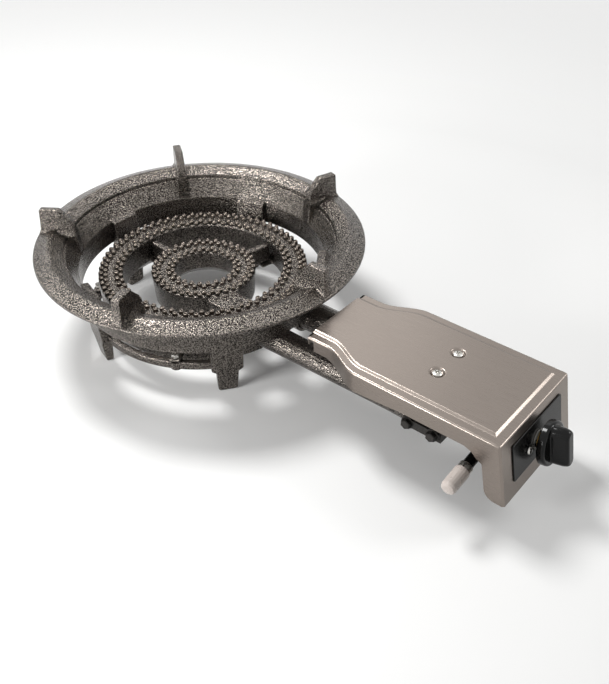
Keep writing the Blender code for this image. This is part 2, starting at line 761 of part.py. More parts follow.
def mixing_tube_shape(radius, mouth_radius, end):
    """Bell mouth with a pierced end wall, a narrow throat, then a slow taper out to the ring."""
    throat = radius - TUBE_THROAT
    wall = TUBE_WALL
    bell = MOUTH_Y + MOUTH_LENGTH
    neck = bell + BELL_LENGTH
    mid = (neck + end) / 2
    return turned(
        [
            (INJECTOR_NECK + GAP, MOUTH_Y),
            (mouth_radius, MOUTH_Y),
            (mouth_radius, bell),
            ((mouth_radius + throat) / 2 - 0.0006, bell + BELL_LENGTH * 0.45),
            (throat, neck),
            ((throat + radius) / 2, mid),
            (radius, end - TUBE_STRAIGHT),
            (radius, end),
            (radius - wall, end),
            (radius - wall, end - TUBE_STRAIGHT),
            ((throat + radius) / 2 - wall - 0.0004, mid),
            (throat - wall - 0.001, neck),
            (mouth_radius - wall, bell),
            (mouth_radius - wall, MOUTH_Y + wall),
            (INJECTOR_NECK + GAP, MOUTH_Y + wall),
        ],
        TUBE_SIDES,
    )


def make_mixing_tube(side, casting, axis, radius, mouth_radius, end, strap_axis):
    tube = piece(f"{side}_mixing_tube", mixing_tube_shape(radius, mouth_radius, end), casting, axis)
    root = -MANIFOLD_OVERHANG - TUBE_WALL * 0.8
    lug = cylinder(STRAP_EYE - 0.0005, root, 0.0, 16)
    add(tube, helper(f"{side}_tube_lug", lug, strap_axis))
    circle, window = window_spots(mouth_radius)
    windows = drilled_spots(
        window_angles(), circle, window, MOUTH_Y - 0.002, MOUTH_Y + TUBE_WALL + 0.002, 12
    )
    hole = cylinder(STRAP_BOLT_RADIUS + SHANK_GAP, -STRAP_BOLT_GRIPS["front"], 0.002, 12)
    cut(
        tube,
        helper(f"{side}_mouth_windows", windows, axis),
        helper(f"{side}_lug_hole", hole, strap_axis),
    )


def make_air_shutter(side, steel, axis, mouth_radius):
    """Pierced disc that turns on the injector neck to close the windows, with a finger tab."""
    front = MOUTH_Y - GAP - SHUTTER_THICKNESS
    back = MOUTH_Y - GAP
    radius = mouth_radius - SHUTTER_MARGIN
    disc = turned(
        [
            (INJECTOR_NECK + GAP, back),
            (INJECTOR_NECK + GAP, front),
            (radius, front),
            (radius, back),
        ],
        TUBE_SIDES,
    )
    shutter = piece(f"{side}_air_shutter", disc, steel, axis)
    tab = block((-0.0035, -radius - 0.006, front), (0.0035, -radius + 0.002, back))
    add(shutter, helper(f"{side}_shutter_tab", tab, axis))
    circle, window = window_spots(mouth_radius)
    windows = drilled_spots(window_angles(), circle, window, front - 0.001, back + 0.001, 12)
    cut(shutter, helper(f"{side}_shutter_windows", windows, axis))


def make_injector(side, brass, axis):
    """Brass jet: thread in the manifold, a collar, and the neck that carries the shutter."""
    collar_back = MOUTH_Y - 2 * GAP - SHUTTER_THICKNESS
    nose = MOUTH_Y + TUBE_WALL + INJECTOR_NOSE
    jet = turned(
        [
            (INJECTOR_BORE, MANIFOLD_Y - INJECTOR_DEPTH),
            (INJECTOR_THREAD, MANIFOLD_Y - INJECTOR_DEPTH),
            (INJECTOR_THREAD, MANIFOLD_Y + GAP),
            (INJECTOR_COLLAR, MANIFOLD_Y + GAP),
            (INJECTOR_COLLAR, collar_back),
            (INJECTOR_NECK, collar_back),
            (INJECTOR_NECK, nose - 0.004),
            (INJECTOR_NECK * 0.45, nose),
            (INJECTOR_BORE, nose),
        ],
        12,
    )
    piece(f"{side}_injector", jet, brass, axis)


# ---------------------------------------------------------------- valve
def make_valve_body(stove, painted, tubes, valve_axis, inlet_axis, strap_axes):
    """Cross manifold with two injector seats, the sloping barrel and the inlet boss."""
    low = (MANIFOLD_LEFT, MANIFOLD_Y - MANIFOLD_DEPTH, TUBE_HEIGHT - MANIFOLD_HALF_HEIGHT)
    high = (MANIFOLD_RIGHT, MANIFOLD_Y, TUBE_HEIGHT + MANIFOLD_HALF_HEIGHT)
    body = piece("valve_body", block(low, high), painted, stove)
    barrel = turned(
        [
            (0.0, BARREL_FRONT),
            (BARREL_RADIUS, BARREL_FRONT),
            (BARREL_RADIUS, -BARREL_LENGTH),
            (BARREL_NECK, -BARREL_LENGTH - 0.004),
            (BARREL_NECK, -BARREL_NECK_END),
            (0.0, -BARREL_NECK_END),
        ],
        BARREL_SIDES,
    )
    add(body, helper("barrel", barrel, valve_axis))
    ears = bmesh.new()
    for x in (-PANEL_SCREW_SPACING / 2, PANEL_SCREW_SPACING / 2):
        ends = (BARREL_FRONT - EAR_DEPTH, BARREL_FRONT - EAR_STEP)
        lofted([ring_points(EAR_RADIUS, z, 12, (x, 0.0)) for z in ends], ears)
    add(body, helper("barrel_ears", ears, valve_axis))
    boss = cylinder(INLET_BOSS_RADIUS, VALVE_BORE + 0.001, INLET_BOSS_END, 20)
    add(body, helper("inlet_boss", boss, inlet_axis))

    bore_end = -(PLUG_FRONT + PLUG_LENGTH + GAP)
    cut(body, helper("valve_bore", cylinder(VALVE_BORE, bore_end, BARREL_FRONT + 0.002, 24), valve_axis))
    seat = cylinder(NIPPLE_RADIUS, INLET_BOSS_END - NIPPLE_THREAD - GAP, INLET_BOSS_END + 0.002, 16)
    cut(body, helper("inlet_seat", seat, inlet_axis))
    for side, axis in tubes.items():
        hole = cylinder(
            INJECTOR_THREAD + GAP, MANIFOLD_Y - INJECTOR_DEPTH - GAP, MANIFOLD_Y + 0.002, 16
        )
        cut(body, helper(f"{side}_injector_seat", hole, axis))
    for name, axis in strap_axes.items():
        hole = cylinder(STRAP_BOLT_RADIUS + SHANK_GAP, -STRAP_BOLT_GRIPS["front"], 0.002, 12)
        cut(body, helper(f"{name}_strap_hole", hole, axis))
    ear_holes = bmesh.new()
    for x in (-PANEL_SCREW_SPACING / 2, PANEL_SCREW_SPACING / 2):
        lofted(
            [
                ring_points(PANEL_SCREW_RADIUS + SHANK_GAP, z, 12, (x, 0.0))
                for z in (BARREL_FRONT - 0.008, BARREL_FRONT + 0.002)
            ],
            ear_holes,
        )
    cut(body, helper("ear_holes", ear_holes, valve_axis))
    bracket_holes = bmesh.new()
    for x in bracket_screw_places():
        lofted(
            [
                ring_points(BRACKET_SCREW_RADIUS + SHANK_GAP, z, 12, (x, bracket_screw_y()))
                for z in (high[2] - BRACKET_SCREW_GRIP - 0.001, high[2] + 0.002)
            ],
            bracket_holes,
        )
    cut(body, helper("bracket_holes", bracket_holes, stove))


def make_bonnet(brass, valve_axis):
    """Front cap of the valve, with ears behind the panel and a threaded neck through it."""
    rear = BONNET_FRONT - BONNET_THICKNESS
    bore = SPINDLE_RADIUS + GAP
    cap = turned(
        [
            (bore, NECK_REACH),
            (BONNET_NECK, NECK_REACH),
            (BONNET_NECK, BONNET_FRONT),
            (BARREL_RADIUS, BONNET_FRONT),
            (BARREL_RADIUS, rear),
            (VALVE_BORE - GAP, rear),
            (VALVE_BORE - GAP, rear - BONNET_SPIGOT),
            (bore, rear - BONNET_SPIGOT),
        ],
        24,
    )
    bonnet = piece("valve_bonnet", cap, brass, valve_axis)
    ears = bmesh.new()
    holes = bmesh.new()
    for x in (-PANEL_SCREW_SPACING / 2, PANEL_SCREW_SPACING / 2):
        lofted([ring_points(EAR_RADIUS, z, 12, (x, 0.0)) for z in (rear, BONNET_FRONT)], ears)
        lofted(
            [
                ring_points(PANEL_SCREW_RADIUS + SHANK_GAP, z, 12, (x, 0.0))
                for z in (rear - 0.002, BONNET_FRONT + 0.002)
            ],
            holes,
        )
    add(bonnet, helper("bonnet_ears", ears, valve_axis))
    cut(bonnet, helper("bonnet_holes", holes, valve_axis))


def make_plug_and_spindle(brass, steel, valve_axis):
    """The plug turns in the barrel. The spindle slides in it, turns it, and carries the knob."""
    front, back = -PLUG_FRONT, -PLUG_FRONT - PLUG_LENGTH
    socket = SPINDLE_RADIUS + GAP
    deep = front - SPINDLE_IN_PLUG - PUSH_TRAVEL - 0.001
    plug = turned(
        [
            (socket, front),
            (VALVE_BORE - GAP, front),
            (VALVE_BORE - GAP, back),
            (0.0, back),
            (0.0, deep),
            (socket, deep),
        ],
        20,
    )
    piece("valve_plug", plug, brass, valve_axis)

    collar_front = BONNET_FRONT - BONNET_THICKNESS - BONNET_SPIGOT - GAP
    collar_back = collar_front - SPINDLE_COLLAR_THICKNESS
    spindle = turned(
        [
            (0.0, KNOB_REAR + SPINDLE_IN_KNOB),
            (SPINDLE_RADIUS, KNOB_REAR + SPINDLE_IN_KNOB),
            (SPINDLE_RADIUS, collar_front),
            (SPINDLE_COLLAR, collar_front),
            (SPINDLE_COLLAR, collar_back),
            (SPINDLE_RADIUS, collar_back),
            (SPINDLE_RADIUS, front - SPINDLE_IN_PLUG),
            (0.0, front - SPINDLE_IN_PLUG),
        ],
        16,
    )
    piece("spindle", spindle, steel, valve_axis)

    mean = (SPINDLE_RADIUS + SPINDLE_COLLAR) / 2 + 0.0004
    top = collar_back - GAP - SPRING_WIRE
    low = front + GAP + SPRING_WIRE
    points = 8 * SPRING_TURNS
    sections = []
    for k in range(points + 1):
        turn = 2 * pi * SPRING_TURNS * k / points
        centre = (mean * cos(turn), mean * sin(turn), top + (low - top) * k / points)
        section = []
        for q in range(4):
            around = pi / 2 * q
            out = mean + SPRING_WIRE * cos(around)
            section.append((out * cos(turn), out * sin(turn), centre[2] + SPRING_WIRE * sin(around)))
        sections.append(section)
    piece("spindle_spring", lofted(sections), steel, valve_axis)


def make_valve_nut(steel, valve_axis):
    """Flat ring nut on the bonnet neck, in front of the black plate."""
    rear = 2 * GAP + PLATE_THICKNESS
    nut = turned(
        [
            (BONNET_NECK + GAP, rear),
            (NUT_RADIUS, rear),
            (NUT_RADIUS, rear + NUT_THICKNESS * 0.7),
            (NUT_RADIUS - 0.0006, rear + NUT_THICKNESS),
            (BONNET_NECK + GAP, rear + NUT_THICKNESS),
        ],
        24,
    )
    piece("valve_nut", nut, steel, valve_axis)


# ---------------------------------------------------------------- straps
def make_straps(stove, steel, strap_axes):
    """Two dog-bone straps, each with a bolt into a tube lug and one into the manifold."""
    waist = asin(STRAP_BAR / STRAP_EYE)
    front_eye = []
    for k in range(11):
        angle = (2 * pi - 2 * waist) * (k / 10 - 0.5)
        front_eye.append((STRAP_EYE * sin(angle), -STRAP_EYE * cos(angle)))
    back_eye = [(-x, STRAP_BACK_Y - STRAP_FRONT_Y - y) for x, y in front_eye]
    outline = front_eye + back_eye
    number = 0
    for side in ("left", "right"):
        shape = lofted([[(x, y, z) for x, y in outline] for z in (GAP, GAP + STRAP_THICKNESS)])
        strap = piece(f"strap_{side}", shape, steel, strap_axes[f"{side}_front"])
        for end, grip in STRAP_BOLT_GRIPS.items():
            eye = strap_axes[f"{side}_{end}"]
            hole = cylinder(STRAP_BOLT_RADIUS + SHANK_GAP, -0.002, STRAP_THICKNESS + 0.003, 12)
            cut(strap, helper(f"{side}_{end}_eye_hole", hole, eye))
            number += 1
            bolt = hex_head(
                STRAP_BOLT_HEAD,
                STRAP_BOLT_HEAD_HEIGHT,
                STRAP_BOLT_RADIUS,
                2 * GAP + STRAP_THICKNESS + grip - 0.001,
            )
            piece(f"strap_bolt_{number}", bolt, steel, eye, (0.0, 0.0, 2 * GAP + STRAP_THICKNESS))


# ---------------------------------------------------------------- gas inlet
def make_inlet(inlet_axis, black, steel, clear):
    start = INLET_BOSS_END - NIPPLE_THREAD
    collar = INLET_BOSS_END + GAP
    shoulder = collar + NIPPLE_COLLAR_LENGTH
    nipple = turned(
        [
            (NIPPLE_BORE, start),
            (NIPPLE_RADIUS - GAP, start),
            (NIPPLE_RADIUS - GAP, collar),
            (NIPPLE_COLLAR, collar),
            (NIPPLE_COLLAR, shoulder - 0.001),
            (NIPPLE_COLLAR - 0.001, shoulder),
            (NIPPLE_RADIUS, shoulder),
            (NIPPLE_RADIUS, NIPPLE_END - 0.004),
            (NIPPLE_RADIUS - 0.0012, NIPPLE_END),
            (NIPPLE_BORE, NIPPLE_END),
        ],
        18,
    )
    piece("gas_inlet_nipple", nipple, black, inlet_axis)

    inside = NIPPLE_RADIUS + GAP
    ferrule = turned(
        [
            (inside, FERRULE_START),
            (inside + FERRULE_WALL, FERRULE_START),
            (inside + FERRULE_WALL, FERRULE_START + FERRULE_LENGTH),
            (inside, FERRULE_START + FERRULE_LENGTH),
        ],
        18,
    )
    piece("inlet_ferrule", ferrule, steel, inlet_axis)

    mouth = FERRULE_START + FERRULE_LENGTH + GAP
    end = mouth + CAP_LENGTH
    cap = turned(
        [
            (inside, mouth),
            (CAP_RADIUS, mouth),
            (CAP_RADIUS, end - CAP_RADIUS * 0.55),
            (CAP_RADIUS * 0.87, end - CAP_RADIUS * 0.24),
            (CAP_RADIUS * 0.55, end - CAP_RADIUS * 0.06),
            (0.0, end),
            (0.0, end - CAP_WALL),
            (inside * 0.8, end - CAP_WALL - CAP_RADIUS * 0.1),
            (inside, end - CAP_WALL - CAP_RADIUS * 0.4),
        ],
        20,
    )
    piece("inlet_cap", cap, clear, inlet_axis)


# ---------------------------------------------------------------- cover
def half_width(y):
    """Half the width of the cover, which swells in an S from the neck to the box."""
    t = (COVER_NECK_Y - SHOULDER_START - y) / SHOULDER_LENGTH
    t = min(max(t, 0.0), 1.0)
    return NECK_HALF_WIDTH + (COVER_HALF_WIDTH - NECK_HALF_WIDTH) * t * t * (3 - 2 * t)


def cover_side():
    """Stations down one side: (y, depth of the wall, share of the panel's slope)."""
    cheek = COVER_FRONT_Y + CHEEK_WIDTH
    shoulder = COVER_NECK_Y - SHOULDER_START
    stations = [
        (COVER_NECK_Y - 0.0001, RELIEF_DEPTH, 0.0),
        (COVER_NECK_Y - NECK_FLANGE_START, RELIEF_DEPTH, 0.0),
        (COVER_NECK_Y - NECK_FLANGE_START - 0.0004, NECK_FLANGE_DEPTH, 0.0),
    ]
    for k in range(SHOULDER_STEPS + 1):
        t = k / SHOULDER_STEPS
        depth = NECK_FLANGE_DEPTH + (SHOULDER_FLANGE_DEPTH - NECK_FLANGE_DEPTH) * t
        stations.append((shoulder - SHOULDER_LENGTH * t, depth, 0.0))
    stations += [
        (shoulder - SHOULDER_LENGTH - 0.026, (SHOULDER_FLANGE_DEPTH + SIDE_FLANGE_DEPTH) / 2, 0.0),
        (shoulder - SHOULDER_LENGTH - 0.048, SIDE_FLANGE_DEPTH, 0.0),
        (cheek + 0.0125, SIDE_FLANGE_DEPTH, 0.0),
        (cheek + 0.007, SIDE_FLANGE_DEPTH + 0.0025, 0.45),
        (cheek + 0.0035, SIDE_FLANGE_DEPTH + 0.0075, 0.75),
        (cheek + 0.0003, SIDE_FLANGE_DEPTH + 0.0098, 1.0),
    ]
    for k in range(4):
        angle = radians(30.0 * k)
        back = CHEEK_CORNER * (1 - sin(radians(90.0) - angle) * 1.0)
        rise = CHEEK_CORNER * (1 - sin(angle))
        stations.append((cheek - back, PANEL_DEPTH - rise, 1.0))
    stations.append((COVER_FRONT_Y + EDGE_ROUND, PANEL_DEPTH, 1.0))
    return stations


def cover_outline():
    """The outline seen from above, once round: (x, y, depth of the wall, share of slope)."""
    side = cover_side()
    near = [(-half_width(y), y, depth, slope) for y, depth, slope in side]
    far = [(half_width(y), y, depth, slope) for y, depth, slope in reversed(side)]
    front = [
        (x, COVER_FRONT_Y, PANEL_DEPTH, 1.0)
        for x in (-COVER_HALF_WIDTH + EDGE_ROUND, COVER_HALF_WIDTH - EDGE_ROUND)
    ]
    corner = NECK_HALF_WIDTH - 0.0015
    neck = [
        (NECK_HALF_WIDTH - 0.0007, COVER_NECK_Y, RELIEF_DEPTH, 0.0),
        (corner, COVER_NECK_Y, LIP_DEPTH, 0.0),
        (-corner, COVER_NECK_Y, LIP_DEPTH, 0.0),
        (-NECK_HALF_WIDTH + 0.0007, COVER_NECK_Y, RELIEF_DEPTH, 0.0),
    ]
    return near + front + far + neck


def inset_point(x, y, distance):
    """A point of the outline moved into the plate, and kept inside the corners."""
    y = min(max(y, COVER_FRONT_Y + distance), COVER_NECK_Y - distance)
    limit = half_width(y) - distance
    return min(max(x, -limit), limit), y


def cover_row(outline, distance, height, bottom=False):
    """One loop of the skin. The bottom loop follows the wall's own depth and slope."""
    row = []
    for x, y, depth, slope in outline:
        px, py = inset_point(x, y, distance)
        if bottom:
            py -= slope * depth / PANEL_DEPTH * PANEL_BATTER
            row.append((px, py, COVER_TOP - depth))
        else:
            row.append((px, py, height))
    return row


def make_cover(stove, steel, valve_axis):
    """Pressed cover: raised field, rolled edges, shallow side flanges, and the deep front panel."""
    outline = cover_outline()
    rise = FIELD_HEIGHT
    rows = [
        cover_row(outline, FIELD_MARGIN + FIELD_SLOPE, COVER_TOP + rise),
        cover_row(outline, FIELD_MARGIN, COVER_TOP),
        cover_row(outline, EDGE_ROUND, COVER_TOP),
        cover_row(outline, 0.0, COVER_TOP - EDGE_ROUND),
        cover_row(outline, 0.0, 0.0, bottom=True),
        cover_row(outline, SHEET, 0.0, bottom=True),
        cover_row(outline, SHEET, COVER_TOP - EDGE_ROUND),
        cover_row(outline, FIELD_MARGIN + SHEET, COVER_TOP - SHEET),
        cover_row(outline, FIELD_MARGIN + FIELD_SLOPE + SHEET, COVER_TOP + rise - SHEET),
    ]
    skin = lofted(rows)
    bmesh.ops.remove_doubles(skin, verts=skin.verts, dist=1e-6)
    cover = piece("control_cover", skin, steel, stove)

    field = COVER_TOP + rise
    floor = field - DIMPLE_DEPTH - SHEET
    cups = bmesh.new()
    recesses = bmesh.new()
    holes = bmesh.new()
    for x in COVER_SCREW_X:
        centre = (x, COVER_SCREW_Y)
        lofted([ring_points(DIMPLE_RADIUS + SHEET, z, 20, centre) for z in (floor, field - SHEET / 2)], cups)
        lofted(
            [
                ring_points(DIMPLE_RADIUS - 0.0012, field - DIMPLE_DEPTH, 20, centre),
                ring_points(DIMPLE_RADIUS + 0.0004, field + 0.001, 20, centre),
            ],
            recesses,
        )
        lofted(
            [
                ring_points(COVER_SCREW_RADIUS + SHANK_GAP, z, 12, centre)
                for z in (floor - 0.002, field + 0.001)
            ],
            holes,
        )
    add(cover, helper("dimple_cups", cups, stove))
    cut(cover, helper("dimple_recesses", recesses, stove), helper("cover_screw_holes", holes, stove))

    panel_holes = cylinder(BONNET_NECK + GAP, -SHEET - 0.002, 0.003, 24)
    for x in (-PANEL_SCREW_SPACING / 2, PANEL_SCREW_SPACING / 2):
        lofted(
            [
                ring_points(PANEL_SCREW_RADIUS + SHANK_GAP, z, 12, (x, 0.0))
                for z in (-SHEET - 0.002, 0.003)
            ],
            panel_holes,
        )
    cut(cover, helper("panel_holes", panel_holes, valve_axis))


def make_cover_screws(stove, steel):
    seat = COVER_TOP + FIELD_HEIGHT - DIMPLE_DEPTH + GAP
    for number, x in enumerate(COVER_SCREW_X, 1):
        screw = cheese_head(
            COVER_SCREW_HEAD,
            COVER_SCREW_HEAD_HEIGHT,
            COVER_SCREW_RADIUS,
            GAP + SHEET + GAP + BRACKET_THICKNESS + COVER_SCREW_GRIP,
        )
        piece(f"cover_screw_{number}", screw, steel, stove, (x, COVER_SCREW_Y, seat))


def bracket_screw_places():
    middle = sum(COVER_SCREW_X) / 2
    return (middle - 0.012, middle + 0.012)


def bracket_screw_y():
    return MANIFOLD_Y - MANIFOLD_DEPTH / 2


def make_bracket(stove, steel):
    """Z-bent strip: its foot is screwed to the manifold, its tab holds the cover screws."""
    manifold_top = TUBE_HEIGHT + MANIFOLD_HALF_HEIGHT
    foot = manifold_top + GAP
    tab_top = COVER_TOP + FIELD_HEIGHT - DIMPLE_DEPTH - SHEET - GAP
    left = min(COVER_SCREW_X) - BRACKET_SIDE_MARGIN
    right = max(COVER_SCREW_X) + BRACKET_SIDE_MARGIN
    toe = MANIFOLD_Y - MANIFOLD_DEPTH + 0.001
    profile = [
        (toe, foot),
        (MANIFOLD_Y + BRACKET_THICKNESS, foot),
        (MANIFOLD_Y + BRACKET_THICKNESS, tab_top - BRACKET_THICKNESS),
        (BRACKET_TAB_END, tab_top - BRACKET_THICKNESS),
        (BRACKET_TAB_END, tab_top),
        (MANIFOLD_Y, tab_top),
        (MANIFOLD_Y, foot + BRACKET_THICKNESS),
        (toe, foot + BRACKET_THICKNESS),
    ]
    strip = lofted([[(x, y, z) for y, z in profile] for x in (left, right)])
    bracket = piece("cover_bracket", strip, steel, stove)
    holes = bmesh.new()
    for x in COVER_SCREW_X:
        lofted(
            [
                ring_points(COVER_SCREW_RADIUS + SHANK_GAP, z, 12, (x, COVER_SCREW_Y))
                for z in (tab_top - BRACKET_THICKNESS - 0.001, tab_top + 0.001)
            ],
            holes,
        )
    for x in bracket_screw_places():
        lofted(
            [
                ring_points(BRACKET_SCREW_RADIUS + SHANK_GAP, z, 12, (x, bracket_screw_y()))
                for z in (foot - 0.001, foot + BRACKET_THICKNESS + 0.001)
            ],
            holes,
        )
    cut(bracket, helper("bracket_strip_holes", holes, stove))
    seat = foot + BRACKET_THICKNESS + GAP
    for number, x in enumerate(bracket_screw_places(), 1):
        screw = cheese_head(
            BRACKET_SCREW_HEAD,
            BRACKET_SCREW_HEAD_HEIGHT,
            BRACKET_SCREW_RADIUS,
            GAP + BRACKET_THICKNESS + GAP + BRACKET_SCREW_GRIP,
        )
        piece(f"bracket_screw_{number}", screw, steel, stove, (x, bracket_screw_y(), seat))


# ---------------------------------------------------------------- front plate and knob
def rounded_rectangle(half_x, low_y, high_y, corner, steps=3):
    points = []
    centres = (
        (half_x - corner, high_y - corner, 0.0),
        (-half_x + corner, high_y - corner, 90.0),
        (-half_x + corner, low_y + corner, 180.0),
        (half_x - corner, low_y + corner, 270.0),
    )
    for cx, cy, start in centres:
        for k in range(steps + 1):
            angle = radians(start + 90.0 * k / steps)
            points.append((cx + corner * cos(angle), cy + corner * sin(angle)))
    return points


def make_plate(valve_axis, black, steel):
    outline = rounded_rectangle(
        PLATE_HALF_WIDTH, PLATE_RISE - PLATE_HEIGHT / 2, PLATE_RISE + PLATE_HEIGHT / 2, PLATE_CORNER
    )
    sheet = lofted([[(x, y, z) for x, y in outline] for z in (GAP, GAP + PLATE_THICKNESS)])
    plate = piece("panel_plate", sheet, black, valve_axis)
    holes = cylinder(BONNET_NECK + GAP, -0.001, 0.003, 24)
    for x in (-PANEL_SCREW_SPACING / 2, PANEL_SCREW_SPACING / 2):
        lofted(
            [ring_points(PANEL_SCREW_RADIUS + SHANK_GAP, z, 12, (x, 0.0)) for z in (-0.001, 0.003)], holes
        )
    cut(plate, helper("plate_holes", holes, valve_axis))
    seat = 2 * GAP + PLATE_THICKNESS
    for number, x in enumerate((-PANEL_SCREW_SPACING / 2, PANEL_SCREW_SPACING / 2), 1):
        length = seat - BARREL_FRONT + 0.006
        screw = cheese_head(PANEL_SCREW_HEAD, PANEL_SCREW_HEAD_HEIGHT, PANEL_SCREW_RADIUS, length)
        piece(f"panel_screw_{number}", screw, steel, valve_axis, (x, 0.0, seat))


def stadium(half_x, half_y, height, steps=6):
    """A bar outline with round ends."""
    points = []
    for centre, start in ((half_y - half_x, 0.0), (half_x - half_y, 180.0)):
        for k in range(steps + 1):
            angle = radians(start + 180.0 * k / steps)
            points.append((half_x * cos(angle), centre + half_x * sin(angle), height))
    return points


def make_knob(valve_axis, gloss_black):
    """Moulded knob: a hollow round skirt with a hub inside, and a deep bar grip across it."""
    rim = KNOB_REAR + KNOB_SKIRT
    skirt = turned(
        [
            (KNOB_RADIUS, KNOB_REAR),
            (KNOB_RADIUS, rim - 0.0018),
            (KNOB_RADIUS - 0.0018, rim),
            (0.0, rim),
            (0.0, KNOB_REAR + 0.0006),
            (KNOB_HUB, KNOB_REAR + 0.0006),
            (KNOB_HUB, KNOB_REAR + KNOB_SCOOP),
            (KNOB_RADIUS - KNOB_WALL, KNOB_REAR + KNOB_SCOOP),
            (KNOB_RADIUS - KNOB_WALL, KNOB_REAR),
        ],
        30,
    )
    knob = piece("knob", skirt, gloss_black, valve_axis)
    half, long = GRIP_HALF_WIDTH, GRIP_HALF_LENGTH
    grip = lofted(
        [
            stadium(half + 0.001, long, rim - 0.002),
            stadium(half + 0.0003, long, rim + GRIP_HEIGHT * 0.25),
            stadium(half - 0.0004, long - 0.0002, rim + GRIP_HEIGHT * 0.62),
            stadium(half - 0.0010, long - 0.0012, rim + GRIP_HEIGHT * 0.86),
            stadium(half - 0.0026, long - GRIP_CROWN, rim + GRIP_HEIGHT),
        ]
    )
    add(knob, helper("grip", grip, valve_axis))
    bore = cylinder(SPINDLE_RADIUS + GAP, KNOB_REAR - 0.002, KNOB_REAR + SPINDLE_IN_KNOB + GAP, 16)
    cut(knob, helper("knob_bore", bore, valve_axis))


# ---------------------------------------------------------------- putting it together
def make_materials():
    return {
        "casting": finish_material("hammertone_iron", (0.060, 0.056, 0.052), 0.55, 0.45),
        "stainless": finish_material("brushed_stainless", (0.56, 0.54, 0.52), 1.0, 0.32),
        "bright": finish_material("plated_steel", (0.62, 0.62, 0.60), 1.0, 0.25),
        "dark": finish_material("blackened_steel", (0.05, 0.05, 0.05), 0.8, 0.5),
        "brass": finish_material("brass", (0.60, 0.44, 0.18), 1.0, 0.35),
        "black": finish_material("black_coat", (0.012, 0.012, 0.012), 0.0, 0.4),
        "gloss": finish_material("gloss_black_phenolic", (0.008, 0.008, 0.008), 0.0, 0.12),
        "clear": finish_material("milky_vinyl", (0.80, 0.79, 0.76), 0.0, 0.35),
    }


def make_axes():
    """Empties on the axes that several pieces share."""
    stove = empty_at("stove", (0.0, RING_Y, 0.0))
    along = (-pi / 2, 0.0, 0.0)
    tubes = {
        "inner": empty_at("inner_tube_axis", (INNER_TUBE_X, 0.0, TUBE_HEIGHT), along, stove),
        "outer": empty_at("outer_tube_axis", (OUTER_TUBE_X, 0.0, TUBE_HEIGHT), along, stove),
    }
    valve = empty_at("valve_axis", (0.0, AXIS_Y, AXIS_Z), (pi / 2 - PANEL_TILT, 0.0, 0.0), stove)
    inlet_y = AXIS_Y + INLET_DISTANCE * cos(PANEL_TILT)
    inlet_z = AXIS_Z - INLET_DISTANCE * sin(PANEL_TILT) + INLET_RISE
    inlet = empty_at("inlet_axis", (0.0, inlet_y, inlet_z), (0.0, -(pi / 2 + INLET_TILT), 0.0), stove)
    straps = {}
    for side, face, turn in (("left", MANIFOLD_LEFT, -pi / 2), ("right", MANIFOLD_RIGHT, pi / 2)):
        for end, y in (("front", STRAP_FRONT_Y), ("back", STRAP_BACK_Y)):
            place = (face, y, TUBE_HEIGHT)
            straps[f"{side}_{end}"] = empty_at(f"{side}_{end}_eye", place, (0.0, turn, 0.0), stove)
    return stove, tubes, valve, inlet, straps


def main():
    clear_scene()
    MATERIALS.update(make_materials())
    casting, steel, dark = MATERIALS["casting"], MATERIALS["bright"], MATERIALS["dark"]
    brass = MATERIALS["brass"]
    stove, tubes, valve, inlet, straps = make_axes()

    make_stand(stove, casting)
    make_outer_burner(stove, casting, tubes)
    make_inner_burner(stove, casting, tubes)
    make_burner_fasteners(stove, steel)

    sides = (
        ("inner", INNER_TUBE_RADIUS, INNER_MOUTH_RADIUS, INNER_TUBE_END, "left"),
        ("outer", OUTER_TUBE_RADIUS, OUTER_MOUTH_RADIUS, OUTER_TUBE_END, "right"),
    )
    for side, radius, mouth, end, strap_side in sides:
        strap_axis = straps[f"{strap_side}_back"]
        make_mixing_tube(side, casting, tubes[side], radius, mouth, end, strap_axis)
        make_air_shutter(side, dark, tubes[side], mouth)
        make_injector(side, brass, tubes[side])

    front_eyes = {side: straps[f"{side}_front"] for side in ("left", "right")}
    make_valve_body(stove, dark, tubes, valve, inlet, front_eyes)
    make_bonnet(brass, valve)
    make_plug_and_spindle(brass, steel, valve)
    make_valve_nut(steel, valve)
    make_straps(stove, dark, straps)
    make_inlet(inlet, MATERIALS["black"], steel, MATERIALS["clear"])
    make_cover(stove, MATERIALS["stainless"], valve)
    make_cover_screws(stove, steel)
    make_bracket(stove, dark)
    make_plate(valve, MATERIALS["black"], steel)
    make_knob(valve, MATERIALS["gloss"])
    print("rest position of the stove's centre:", round(RING_Y, 5))
    print("valve axis:", round(AXIS_Y + RING_Y, 5), round(AXIS_Z, 5), round(degrees(PANEL_TILT), 3))


MATERIALS = {}
main()
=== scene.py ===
"""A double-ring gas burner on a cast stand, dressed over its CAD frame for a studio picture.

Metres, +Z up. The pan ring stands at the +Y end, and the boxed control valve lies towards -Y.
"""

from math import cos, pi, radians, sin, sqrt

import bmesh
import bpy
from mathutils import Matrix, Vector


